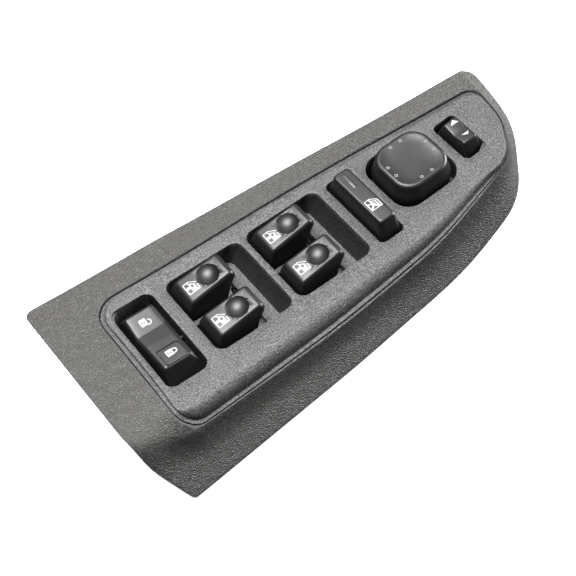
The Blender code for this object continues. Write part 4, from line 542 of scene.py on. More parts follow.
def prism(name: str, outline: Sequence[Vector], low: float, high: float,
          axis: Axis = Axis.Z) -> bpy.types.Object:
    """Model a solid from an outline, extruded from low to high along an axis.

    Args:
        name: the object's name.
        outline: plan points, or (along, height) points where the axis is X or Y.
        low: where the solid starts.
        high: where it ends.
        axis: the axis that it is extruded along.

    Returns:
        The new object.
    """
    def place(point: Vector, level: float) -> Vector:
        """One corner of the solid.

        Args:
            point: a point of the outline.
            level: how far along the axis.

        Returns:
            The corner in space.
        """
        if axis is Axis.Z:
            return Vector((point.x, point.y, level))
        if axis is Axis.Y:
            return Vector((point.x, level, point.y))
        return Vector((level, point.x, point.y))
    return loft(name, [[place(point, level) for point in outline] for level in (low, high)])


def block(name: str, low: Sequence[float], high: Sequence[float]) -> bpy.types.Object:
    """Model a box between two corners.

    Args:
        name: the object's name.
        low: the corner with the smallest coordinates.
        high: the opposite corner.

    Returns:
        The new object.
    """
    deselect()
    low_corner, high_corner = Vector(low), Vector(high)
    bpy.ops.mesh.primitive_cube_add(size=1.0, location=(low_corner + high_corner) / 2)
    item = bpy.context.object
    item.scale = high_corner - low_corner
    return settle(item, name)


def rod(name: str, start: Vector, end: Vector, radius: float, tip: float | None = None,
        sides: int = 32) -> bpy.types.Object:
    """Model a round rod, or a cone where tip is its far radius.

    Args:
        name: the object's name.
        start: middle of one end.
        end: middle of the other.
        radius: radius at the start.
        tip: radius at the end, where it differs.
        sides: flat faces round it.

    Returns:
        The new object.
    """
    deselect()
    run = end - start
    bpy.ops.mesh.primitive_cone_add(vertices=sides, radius1=radius, radius2=radius if tip is None else tip,
                                    depth=run.length, location=(start + end) / 2)
    item = bpy.context.object
    item.rotation_mode = "QUATERNION"
    item.rotation_quaternion = Vector((0, 0, 1)).rotation_difference(run)
    return settle(item, name)


def finish_with(item: bpy.types.Object, kind: str, **settings: object) -> None:
    """Add a modifier with its settings and apply it.

    Args:
        item: the object.
        kind: the modifier's type.
        settings: values of the modifier's own properties.
    """
    pick(item)
    step = item.modifiers.new(kind.lower(), kind)
    for key, value in settings.items():
        setattr(step, key, value)
    bpy.ops.object.modifier_apply(modifier=step.name)


def combine(item: bpy.types.Object, tool: bpy.types.Object, operation: str) -> None:
    """Apply an exact Boolean of the tool, and remove the tool."""
    finish_with(item, "BOOLEAN", operation=operation, solver="EXACT", object=tool)
    bpy.data.objects.remove(tool, do_unlink=True)


def cut(item: bpy.types.Object, *tools: bpy.types.Object) -> None:
    """Cut the tools out of an object."""
    for tool in tools:
        combine(item, tool, "DIFFERENCE")


def join(item: bpy.types.Object, *tools: bpy.types.Object) -> None:
    """Join the tools to an object."""
    for tool in tools:
        combine(item, tool, "UNION")


def round_edges(item: bpy.types.Object, width: float, steps: int,
                wanted: Callable[[bmesh.types.BMEdge], bool], clamp: bool = True) -> None:
    """Bevel the edges that a test picks, in edit mode.

    Args:
        item: the object.
        width: width of the bevel.
        steps: its segments.
        wanted: the test for an edge.
        clamp: whether the bevel stops before it meets another.
    """
    pick(item)
    bpy.ops.object.mode_set(mode="EDIT")
    bpy.ops.mesh.select_mode(type="EDGE")
    bpy.ops.mesh.select_all(action="DESELECT")
    mesh = bmesh.from_edit_mesh(item.data)
    for edge in mesh.edges:
        edge.select_set(wanted(edge))
    bmesh.update_edit_mesh(item.data)
    bpy.ops.mesh.bevel(offset=width, segments=steps, profile=0.5, affect="EDGES", clamp_overlap=clamp)
    bpy.ops.object.mode_set(mode="OBJECT")


def slice_across(item: bpy.types.Object, axis: Axis, pitch: float, offset: float) -> None:
    """Bisect an object that is in edit mode into strips.

    Args:
        item: the object.
        axis: the axis that the cuts lie across.
        pitch: width of the strips.
        offset: how far the cuts are moved, so that they miss the object's own edges.
    """
    reach = [corner[axis.value] for corner in item.bound_box]
    normal = Vector((0.0, 0.0, 0.0))
    normal[axis.value] = 1.0
    for index in range(math.ceil(min(reach) / pitch), math.floor(max(reach) / pitch) + 1):
        bpy.ops.mesh.select_all(action="SELECT")
        bpy.ops.mesh.bisect(plane_co=normal * (index * pitch + offset), plane_no=normal, threshold=0.002 * MM)


def follow_crown(item: bpy.types.Object, pitch: float = 8.0 * MM) -> None:
    """Bisect an object into strips along X and lift them onto the crown.

    Args:
        item: the object.
        pitch: width of the strips.
    """
    pick(item)
    bpy.ops.object.mode_set(mode="EDIT")
    bpy.ops.mesh.select_mode(type="VERT")
    bpy.ops.mesh.select_all(action="SELECT")
    bpy.ops.mesh.remove_doubles(threshold=0.004 * MM)
    slice_across(item, Axis.X, pitch, 0.041 * MM)
    bpy.ops.object.mode_set(mode="OBJECT")
    for vertex in item.data.vertices:
        share = (vertex.co.z - 18.5 * MM) / (3.5 * MM)
        vertex.co.z += CROWN.rise(vertex.co.x) * max(0.0, min(1.0, share))


def draft(item: bpy.types.Object, axis: Axis, centre: float, low: tuple[float, float],
          high: tuple[float, float]) -> None:
    """Narrow a profile solid with height.

    Args:
        item: the solid.
        axis: the axis across it.
        centre: its middle on that axis.
        low: (height, half width) at the bottom.
        high: (height, half width) at the top.
    """
    for vertex in item.data.vertices:
        share = max((vertex.co.z - low[0]) / (high[0] - low[0]), 0.0)
        side = 1.0 if vertex.co[axis.value] > centre else -1.0
        vertex.co[axis.value] = centre + side * (low[1] + (high[1] - low[1]) * share)


def side_edges(axis: Axis, above: float) -> Callable[[bmesh.types.BMEdge], bool]:
    """A test for the edges between a profile's end faces and its rim, above a height.

    Args:
        axis: the axis that the profile was extruded along.
        above: the height.

    Returns:
        The test.
    """
    def wanted(edge: bmesh.types.BMEdge) -> bool:
        """Is this one of them.

        Args:
            edge: an edge in edit mode.

        Returns:
            Whether it is to be bevelled.
        """
        if len(edge.link_faces) != 2 or edge.calc_face_angle() < math.radians(50):
            return False
        ends = [abs(face.normal[axis.value]) > 0.8 for face in edge.link_faces]
        return ends[0] != ends[1] and min(vertex.co.z for vertex in edge.verts) > above
    return wanted


def rim_edges(x: float, y: float, radius: float) -> Callable[[bmesh.types.BMEdge], bool]:
    """A test for the edges of a round rim, seen from above.

    Args:
        x: x of the rim's centre.
        y: y of the rim's centre.
        radius: its radius.

    Returns:
        The test.
    """
    def wanted(edge: bmesh.types.BMEdge) -> bool:
        """Is this one of them.

        Args:
            edge: an edge in edit mode.

        Returns:
            Whether it is to be bevelled.
        """
        if len(edge.link_faces) != 2 or edge.calc_face_angle() < math.radians(12):
            return False
        return all(vertex.co.z > TOP and abs(math.hypot(vertex.co.x - x, vertex.co.y - y) - radius) < 0.3 * MM
                   for vertex in edge.verts)
    return wanted


def surface_of(item: bpy.types.Object) -> BVHTree:
    """A search tree of an object's faces.

    Args:
        item: the object.

    Returns:
        The tree, in the object's own coordinates.
    """
    mesh = bmesh.new()
    mesh.from_mesh(item.data)
    tree = BVHTree.FromBMesh(mesh)
    mesh.free()
    return tree


def divide(item: bpy.types.Object, pitch: float) -> None:
    """Bisect a flat print into narrow strips along Y, so that it can follow a curved top.

    Args:
        item: the print.
        pitch: width of the strips.
    """
    pick(item)
    bpy.ops.object.mode_set(mode="EDIT")
    slice_across(item, Axis.Y, pitch, 0.013 * MM)
    bpy.ops.object.mode_set(mode="OBJECT")


def lay_on(item: bpy.types.Object, tree: BVHTree, proud: float = 0.03 * MM, sunk: float = 0.12 * MM) -> None:
    """Drape a thin flat print over a surface: its upper points lie just above it, its lower ones below.

    Args:
        item: the print.
        tree: the surface's search tree.
        proud: how far its upper points lie above the surface.
        sunk: how far its lower points lie below it.
    """
    middle = sum(vertex.co.z for vertex in item.data.vertices) / len(item.data.vertices)
    for vertex in item.data.vertices:
        spot, _, _, _ = tree.ray_cast(Vector((vertex.co.x, vertex.co.y, TOP + 40 * MM)), Vector((0, 0, -1)))
        if spot:
            vertex.co.z = spot.z + (proud if vertex.co.z > middle else -sunk)


def join_pin(item: bpy.types.Object, root: Vector, tip: Vector) -> None:
    """Join a round pivot pin between two points."""
    join(item, rod("pin", root, tip, PIN_RADIUS))


def join_foot(item: bpy.types.Object, x: float, y: float, head: float) -> None:
    """Join a square foot that reaches from head down to the dome mat."""
    join(item, block("foot", (x - FOOT_HALF, y - FOOT_HALF, FOOT_LOW), (x + FOOT_HALF, y + FOOT_HALF, head)))


# Finishes


def new_material(name: str) -> tuple[bpy.types.Material, bpy.types.NodeTree, bpy.types.Node]:
    """Make a node material.

    Args:
        name: the material's name.

    Returns:
        The material, its node tree and its shader.
    """
    made = bpy.data.materials.new(name)
    made.use_nodes = True
    return made, made.node_tree, made.node_tree.nodes["Principled BSDF"]


def object_point(tree: bpy.types.NodeTree, scale: Sequence[float] = (1.0, 1.0, 1.0)) -> bpy.types.NodeSocket:
    """Object coordinates through a Mapping node.

    Args:
        tree: the material's node tree.
        scale: how much the pattern is squeezed along each axis.

    Returns:
        The scaled coordinates.
    """
    source = tree.nodes.new("ShaderNodeTexCoord")
    mapping = tree.nodes.new("ShaderNodeMapping")
    mapping.inputs["Scale"].default_value = tuple(scale)
    tree.links.new(source.outputs["Object"], mapping.inputs["Vector"])
    return mapping.outputs["Vector"]


def noise(tree: bpy.types.NodeTree, point: bpy.types.NodeSocket, cell: float, detail: float = 2.0,
          rough: float = 0.5) -> bpy.types.Node:
    """A noise texture whose features are about cell metres wide.

    Args:
        tree: the material's node tree.
        point: the coordinates that it reads.
        cell: width of a feature.
        detail: octaves of finer noise.
        rough: strength of the finer octaves.

    Returns:
        The texture node.
    """
    node = tree.nodes.new("ShaderNodeTexNoise")
    node.inputs["Scale"].default_value = 0.6 / cell
    node.inputs["Detail"].default_value = detail
    node.inputs["Roughness"].default_value = rough
    tree.links.new(point, node.inputs["Vector"])
    return node


def ramp(tree: bpy.types.NodeTree, value: bpy.types.NodeSocket, stops: Sequence[tuple[float, Sequence[float]]]
         ) -> bpy.types.NodeSocket:
    """A colour ramp over a value.

    Args:
        tree: the material's node tree.
        value: the value that it reads.
        stops: (position, colour) pairs.

    Returns:
        The colour.
    """
    node = tree.nodes.new("ShaderNodeValToRGB")
    band = node.color_ramp
    while len(band.elements) < len(stops):
        band.elements.new(0.5)
    for element, (place, colour) in zip(band.elements, stops):
        element.position = place
        element.color = (*colour, 1.0)
    tree.links.new(value, node.inputs["Fac"])
    return node.outputs["Color"]


def spread(tree: bpy.types.NodeTree, value: bpy.types.NodeSocket, low: float, high: float,
           from_low: float = 0.3, from_high: float = 0.7) -> bpy.types.NodeSocket:
    """Map a value's usual range to low and high.

    Args:
        tree: the material's node tree.
        value: the value that it reads.
        low: the result at from_low.
        high: the result at from_high.
        from_low: the value that gives low.
        from_high: the value that gives high.

    Returns:
        The mapped value.
    """
    node = tree.nodes.new("ShaderNodeMapRange")
    node.inputs["From Min"].default_value = from_low
    node.inputs["From Max"].default_value = from_high
    node.inputs["To Min"].default_value = low
    node.inputs["To Max"].default_value = high
    tree.links.new(value, node.inputs["Value"])
    return node.outputs["Result"]


def maths(tree: bpy.types.NodeTree, operation: str,
          *values: bpy.types.NodeSocket | float) -> bpy.types.NodeSocket:
    """One step of arithmetic.

    Args:
        tree: the material's node tree.
        operation: the Math node's operation.
        values: sockets or plain numbers, in the node's own order.

    Returns:
        The result.
    """
    node = tree.nodes.new("ShaderNodeMath")
    node.operation = operation
    for place, value in enumerate(values):
        if isinstance(value, bpy.types.NodeSocket):
            tree.links.new(value, node.inputs[place])
        else:
            node.inputs[place].default_value = value
    return node.outputs[0]


def product(tree: bpy.types.NodeTree, first: bpy.types.NodeSocket,
            second: bpy.types.NodeSocket) -> bpy.types.NodeSocket:
    """Multiply two colours.

    Args:
        tree: the material's node tree.
        first: one colour.
        second: the other colour, or a grey factor.

    Returns:
        The product.
    """
    node = tree.nodes.new("ShaderNodeMix")
    node.data_type = "RGBA"
    node.blend_type = "MULTIPLY"
    node.inputs["Factor"].default_value = 1.0
    tree.links.new(first, node.inputs["A"])
    tree.links.new(second, node.inputs["B"])
    return node.outputs["Result"]


def bump(tree: bpy.types.NodeTree, height: bpy.types.NodeSocket, depth: float,
         under: bpy.types.NodeSocket | None = None) -> bpy.types.NodeSocket:
    """A bump of a real depth in metres, over another bump if one is given.

    Args:
        tree: the material's node tree.
        height: the height map.
        depth: its depth.
        under: a bump that this one lies on.

    Returns:
        The bent normal.
    """
    node = tree.nodes.new("ShaderNodeBump")
    node.inputs["Strength"].default_value = 1.0
    node.inputs["Distance"].default_value = depth
    tree.links.new(height, node.inputs["Height"])
    if under is not None:
        tree.links.new(under, node.inputs["Normal"])
    return node.outputs["Normal"]


@dataclass(frozen=True)
class LeatherGrain:
    """Moulded plastic with a fine wrinkled grain, with painted shade in its creases."""

    name: str = "bezel_leather_grain"
    colour: tuple[float, float, float] = (0.058, 0.056, 0.053)
    cell: float = 0.95 * MM
    depth: float = 0.2 * MM
    roughness: float = 0.46

    def material(self) -> bpy.types.Material:
        """Build the material.

        Returns:
            The material.
        """
        made, tree, shader = new_material(self.name)
        point = object_point(tree)
        warp = noise(tree, point, self.cell * 1.6, 2.0)
        shift = tree.nodes.new("ShaderNodeVectorMath")
        shift.operation = "MULTIPLY_ADD"
        shift.inputs[1].default_value = (self.cell * 1.6,) * 3
        tree.links.new(warp.outputs["Color"], shift.inputs[0])
        tree.links.new(point, shift.inputs[2])
        cells = tree.nodes.new("ShaderNodeTexVoronoi")
        cells.feature = "DISTANCE_TO_EDGE"
        cells.inputs["Scale"].default_value = 1.0 / self.cell
        tree.links.new(shift.outputs["Vector"], cells.inputs["Vector"])
        pebble = spread(tree, cells.outputs["Distance"], 0.0, 1.0, 0.0, 0.30)
        fine = noise(tree, point, self.cell * 0.3, 2.0)
        coarse = bump(tree, pebble, self.depth)
        tree.links.new(bump(tree, fine.outputs["Fac"], self.depth * 0.5, coarse), shader.inputs["Normal"])
        broad = noise(tree, point, 26 * MM, 3.0)
        dark = tuple(channel * 0.88 for channel in self.colour)
        # Random broad tone, times painted shade that halves the colour in the grain's creases.
        tone_and_crease_shade = product(tree, ramp(tree, broad.outputs["Fac"], [(0.3, dark), (0.7, self.colour)]),
                       ramp(tree, pebble, [(0.0, (0.5, 0.5, 0.5)), (0.6, (1.0, 1.0, 1.0))]))
        tree.links.new(tone_and_crease_shade, shader.inputs["Base Color"])
        tree.links.new(spread(tree, pebble, self.roughness + 0.10, self.roughness - 0.03, 0.0, 1.0),
                       shader.inputs["Roughness"])
        return made


@dataclass(frozen=True)
class SparkGrain:
    """Moulded plastic with the sandy grain of a spark-eroded tool, and painted shade below its top round the
    wells.
    """

    name: str = "plate_spark_grain"
    colour: tuple[float, float, float] = (0.046, 0.046, 0.0465)
    cell: float = 0.36 * MM
    depth: float = 0.2 * MM
    roughness: float = 0.48
    painted_shade_tone: float = 0.25
    shade_start_depth: float = 0.4 * MM
    full_shade_depth: float = 1.8 * MM
    wall_depth: float = 9.5 * MM
    floor_depth: float = 9.85 * MM
    recess_reach: float = 22.2 * MM
    recess_end: float = 22.6 * MM

    def material(self) -> bpy.types.Material:
        """Build the material.

        Returns:
            The material.
        """
        made, tree, shader = new_material(self.name)
        point = object_point(tree)
        sand = noise(tree, point, self.cell, 3.0, 0.65)
        finer = noise(tree, point, self.cell * 0.45, 1.0)
        coarse = bump(tree, sand.outputs["Fac"], self.depth)
        tree.links.new(bump(tree, finer.outputs["Fac"], self.depth * 0.3, coarse), shader.inputs["Normal"])
        dark = tuple(channel * 0.15 for channel in self.colour)
        light = tuple(channel * 2.5 for channel in self.colour)
        grains = ramp(tree, sand.outputs["Fac"], [(0.38, dark), (0.5, self.colour), (0.64, light)])
        # Painted shade: the grain colour is multiplied by a factor that darkens it below the top near the
        # wells.
        tree.links.new(product(tree, grains, self.recess(tree, point)), shader.inputs["Base Color"])
        tree.links.new(spread(tree, sand.outputs["Fac"], self.roughness + 0.14, self.roughness - 0.08),
                       shader.inputs["Roughness"])
        return made

    def recess(self, tree: bpy.types.NodeTree, point: bpy.types.NodeSocket) -> bpy.types.NodeSocket:
        """A factor of painted shade: it darkens the plate's colour below its top within the band of the
        window wells, except on the deepest recess floors.

        Args:
            tree: the material's node tree.
            point: object coordinates.

        Returns:
            The factor, 1 on the top, on the deepest floors and outside the band.
        """
        parts = tree.nodes.new("ShaderNodeSeparateXYZ")
        tree.links.new(point, parts.inputs[0])
        square = maths(tree, "MULTIPLY", parts.outputs["X"], parts.outputs["X"])
        height = maths(tree, "MULTIPLY_ADD", square, -1.0 / (2 * CROWN.radius), parts.outputs["Z"])
        # Painted shade, darker the deeper the surface lies below the top, down to the full-shade depth.
        shade_by_depth = spread(tree, height, self.painted_shade_tone, 1.0, TOP - self.full_shade_depth, TOP - self.shade_start_depth)
        span = maths(tree, "ABSOLUTE", maths(tree, "SUBTRACT", parts.outputs["Y"], ROW.window_y))
        outside = spread(tree, span, 0.0, 1.0, self.recess_reach, self.recess_end)
        floor = spread(tree, height, 1.0, 0.0, TOP - self.floor_depth, TOP - self.wall_depth)
        return maths(tree, "MAXIMUM", maths(tree, "MAXIMUM", shade_by_depth, outside), floor)


@dataclass(frozen=True)
class SatinPlastic:
    """Smooth moulded plastic with a trace of texture."""

    name: str
    colour: tuple[float, float, float]
    roughness: float = 0.4
    cell: float = 0.16 * MM
    depth: float = 0.008 * MM
    coat: float = 0.0

    def material(self) -> bpy.types.Material:
        """Build the material.

        Returns:
            The material.
        """
        made, tree, shader = new_material(self.name)
        point = object_point(tree)
        dust = noise(tree, point, self.cell, 2.0)
        tree.links.new(bump(tree, dust.outputs["Fac"], self.depth), shader.inputs["Normal"])
        broad = noise(tree, point, 9 * MM, 3.0)
        tree.links.new(spread(tree, broad.outputs["Fac"], self.roughness - 0.04, self.roughness + 0.05),
                       shader.inputs["Roughness"])
        dark = tuple(channel * 0.86 for channel in self.colour)
        tree.links.new(ramp(tree, broad.outputs["Fac"], [(0.3, dark), (0.7, self.colour)]),
                       shader.inputs["Base Color"])
        shader.inputs["Coat Weight"].default_value = self.coat
        return made


@dataclass(frozen=True)
class Plated:
    """Sheet or turned steel with fine drawing marks."""

    name: str
    colour: tuple[float, float, float]
    roughness: float = 0.32

    def material(self) -> bpy.types.Material:
        """Build the material.

        Returns:
            The material.
        """
        made, tree, shader = new_material(self.name)
        shader.inputs["Metallic"].default_value = 1.0
        marks = noise(tree, object_point(tree, (1.0, 1.0, 6.0)), 0.5 * MM, 4.0)
        tree.links.new(spread(tree, marks.outputs["Fac"], self.roughness - 0.06, self.roughness + 0.12),
                       shader.inputs["Roughness"])
        dark = tuple(channel * 0.8 for channel in self.colour)
        tree.links.new(ramp(tree, marks.outputs["Fac"], [(0.3, dark), (0.7, self.colour)]),
                       shader.inputs["Base Color"])
        tree.links.new(bump(tree, marks.outputs["Fac"], 0.01 * MM), shader.inputs["Normal"])
        return made


@dataclass(frozen=True)
class Finishes:
    """Every finish of the part, made once."""

    bezel: bpy.types.Material
    plate: bpy.types.Material
    key: bpy.types.Material
    print: bpy.types.Material
    mark: bpy.types.Material
    case: bpy.types.Material
    nylon: bpy.types.Material
    board: bpy.types.Material
    silicone: bpy.types.Material
    screw: bpy.types.Material
    clip: bpy.types.Material
    lens: bpy.types.Material
    header: bpy.types.Material

    @classmethod
    def make(cls) -> "Finishes":
        """Build every material.

        Returns:
            The finishes.
        """
        return cls(
            bezel=LeatherGrain().material(),
            plate=SparkGrain().material(),
            key=SatinPlastic("key_satin_black", (0.0055, 0.0055, 0.0057), 0.42).material(),
            print=SatinPlastic("pictogram_white", (0.36, 0.36, 0.35), 0.6, depth=0.004 * MM).material(),
            # Light grey on the black moulded rings: a painted highlight standing in for their gloss.
            mark=SatinPlastic("ring_painted_highlight", (0.20, 0.20, 0.20), 0.5, depth=0.004 * MM).material(),
            case=SatinPlastic("case_black", (0.016, 0.016, 0.0165), 0.5, 0.35 * MM, 0.02 * MM).material(),
            nylon=SatinPlastic("gimbal_natural", (0.62, 0.61, 0.57), 0.48).material(),
            board=SatinPlastic("board_lacquer", (0.012, 0.085, 0.035), 0.3, coat=0.4).material(),
            silicone=SatinPlastic("mat_silicone", (0.50, 0.51, 0.50), 0.6, 0.5 * MM, 0.01 * MM).material(),
            screw=Plated("screw_zinc", (0.60, 0.60, 0.58)).material(),
            clip=Plated("clip_spring_steel", (0.26, 0.25, 0.21), 0.36).material(),
            lens=SatinPlastic("light_pipe_smoke", (0.05, 0.05, 0.05), 0.35).material(),
            header=SatinPlastic("header_grey", (0.09, 0.09, 0.10), 0.5, 0.3 * MM, 0.012 * MM).material(),
        )


def dress(item: bpy.types.Object, finish: bpy.types.Material, slot: str, body: str,
          *nodes: str, angle: float = 32.0) -> bpy.types.Object:
    """Give a finished piece its material, shading and body, and hide the CAD nodes it stands for.

    Args:
        item: the piece.
        finish: its material.
        slot: the name of a material slot; not used.
        body: the body it rides on.
        nodes: the CAD nodes that it replaces.
        angle: shade smooth below this angle between faces, in degrees.

    Returns:
        The same piece.
    """
    pick(item)
    item.data.materials.clear()
    item.data.materials.append(finish)
    bpy.ops.object.shade_smooth_by_angle(angle=math.radians(angle))
    deselect()
    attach(item, body)
    if nodes:
        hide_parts(*nodes)
    LOG.info("%s: %d faces on %s", item.name, len(item.data.polygons), body)
    return item


# Sub-assemblies


@dataclass
class TrimBezel:
    """The trim bezel: a lofted ring with its lip, flared skirt, ledge, tabs, ribs and towers."""

    skirt: SkirtSurface
    finishes: Finishes
    wall: float = 2.4 * MM
    lip_round: float = 0.9 * MM
    ledge_drop: float = 2.9 * MM
    ledge_thick: float = 2.2 * MM
    ledge_reach: float = 2.6 * MM

    def section(self, inner: Vector, outer: Vector) -> Ring:
        """The closed section at one station, from the ledge's tip round to it again.

        Args:
            inner: the station on the plate's outline.
            outer: the station on the bezel's outline.

        Returns:
            The points of the section.
        """
        start, way = inner.to_3d(), (outer - inner).normalized().to_3d()
        lip = self.skirt.height(inner.x, inner.y)
        ledge = lip - self.ledge_drop
        run = (outer - inner).length
        up = Vector((0, 0, 1))

        def surface(distance: float) -> Vector:
            """Point of the top at a distance from the lip."""
            spot = start + way * distance
            return Vector((spot.x, spot.y, self.skirt.height(spot.x, spot.y)))

        def under(distance: float) -> Vector:
            """Point of the underside below it."""
            spot = surface(distance)
            return spot - self.skirt.normal(spot.x, spot.y) * self.wall

        loop = [start - way * self.ledge_reach + up * ledge, start + up * ledge]
        turn = surface(self.lip_round)
        for step in range(6):
            angle = math.pi / 2 * step / 5
            rise = lip - self.lip_round + (turn.z - lip + self.lip_round) * math.sin(angle)
            loop.append(start + way * self.lip_round * (1 - math.cos(angle)) + up * rise)
        first = self.lip_round / run
        loop += [surface(run * (first + (1 - first) * (step / 20) ** 1.15)) for step in range(1, 20)]
        rim = surface(run)
        loop.append(rim - way * 0.25 * MM + up * 0.02 * MM)
        loop.append(rim - up * 0.3 * MM)
        loop.append(rim - up * self.wall * 0.7 - way * self.wall * 0.22)
        loop.append(rim - up * self.wall * 0.8 - way * self.wall * 0.40)
        loop += [under(run * share) for share in (0.84, 0.72, 0.6, 0.5, 0.42)]
        root = under(run * 0.26)
        loop.append(Vector((root.x, root.y, min(root.z, ledge - self.ledge_thick * 0.6))))
        loop.append(start + way * 0.6 * MM + up * (ledge - self.ledge_thick))
        loop.append(start - way * self.ledge_reach + up * (ledge - self.ledge_thick))
        return loop

    def fixings(self, item: bpy.types.Object) -> None:
        """Join the tabs, ribs and towers, as the frame's own bezel has them.

        Args:
            item: the bezel.
        """
        near = rounded(ROW.plate_corners(), 5)
        foot = rounded(ROW.bezel_corners(), 5)
        for x in TAB_XS:
            edge = lowest_y(near, x)
            top = 27.6 * MM + CROWN.rise(x)
            lip = self.skirt.height(x, edge)
            half = 4.5 * MM
            join(item,
                 block("tab", (x - half, edge - 1.4 * MM, top - 2 * MM), (x + half, edge + 8.1 * MM, top)),
                 block("tab_drop", (x - half + 0.7 * MM, edge - 1.0 * MM, top - 1 * MM),
                       (x + half - 0.7 * MM, edge + 2.0 * MM, lip - self.ledge_drop - self.ledge_thick / 2)))
            spot = Vector((x, edge + TAB_HOLE_IN, top))
            cut(item, rod("tab_hole", spot - Vector((0, 0, 6 * MM)), spot + Vector((0, 0, 2 * MM)),
                          SCREW_HOLE))
        towers = ((ROW.bezel_left + 11.5 * MM, ROW.far - 5.0 * MM, True),
                  (ROW.bezel_left + 11.5 * MM, ROW.far - 48.0 * MM, True),
                  (ROW.rear + 30.0 * MM, ROW.far + 6.6 * MM, False),
                  (ROW.pad + 24.0 * MM, ROW.far - 0.6 * MM, False))
        for x, y, turned in towers:
            half_x, half_y = (1.0 * MM, 6.0 * MM) if turned else (6.0 * MM, 1.0 * MM)
            head = self.skirt.height(x, y) - self.wall / 2
            join(item, block("tower", (x - half_x, y - half_y, 22.0 * MM), (x + half_x, y + half_y, head)))
        for x in (ROW.rear - 18.0 * MM, ROW.rear + 28.0 * MM, ROW.front + 40.0 * MM, ROW.bar + 30.0 * MM):
            edge, outer = lowest_y(near, x), lowest_y(foot, x)
            line = []
            for step in range(13):
                y = edge - 2.2 * MM + (outer - edge + 4.7 * MM) * step / 12
                spot = Vector((x, y, self.skirt.height(x, y))) - self.skirt.normal(x, y) * self.wall * 0.55
                line.append(Vector((spot.y, spot.z)))
            inner_y = edge + self.ledge_reach - 0.9 * MM
            line += [Vector((inner_y, line[-1].y + 1.0 * MM)),
                     Vector((inner_y, self.skirt.height(x, edge) - self.ledge_drop - self.ledge_thick / 2))]
            join(item, prism("rib", line, x - 0.8 * MM, x + 0.8 * MM, Axis.X))

    def build(self) -> bpy.types.Object:
        """Build and dress the bezel.

        Returns:
            The bezel.
        """
        inner = stations(ROW.plate_corners(), PLATE_ANCHORS, PLATE_COUNTS)
        outer = stations(ROW.bezel_corners(), BEZEL_ANCHORS, PLATE_COUNTS)
        sections = [self.section(a, b) for a, b in zip(inner, outer)]
        rings = [[section[place] for section in sections] for place in range(len(sections[0]))]
        item = loft("bezel", rings, closed=True)
        self.fixings(item)
        return dress(item, self.finishes.bezel, "bezel_plastic", "module", "trim_bezel", angle=40.0)


def lowest_y(line: Sequence[Vector], x: float) -> float:
    """Y of an outline's near side at x.

    Args:
        line: the outline.
        x: where to look.

    Returns:
        The smallest y of the outline there.
    """
    found = []
    for first, second in zip(line, [*line[1:], line[0]]):
        if min(first.x, second.x) <= x <= max(first.x, second.x) and first.x != second.x:
            found.append(first.y + (second.y - first.y) * (x - first.x) / (second.x - first.x))
    return min(found)


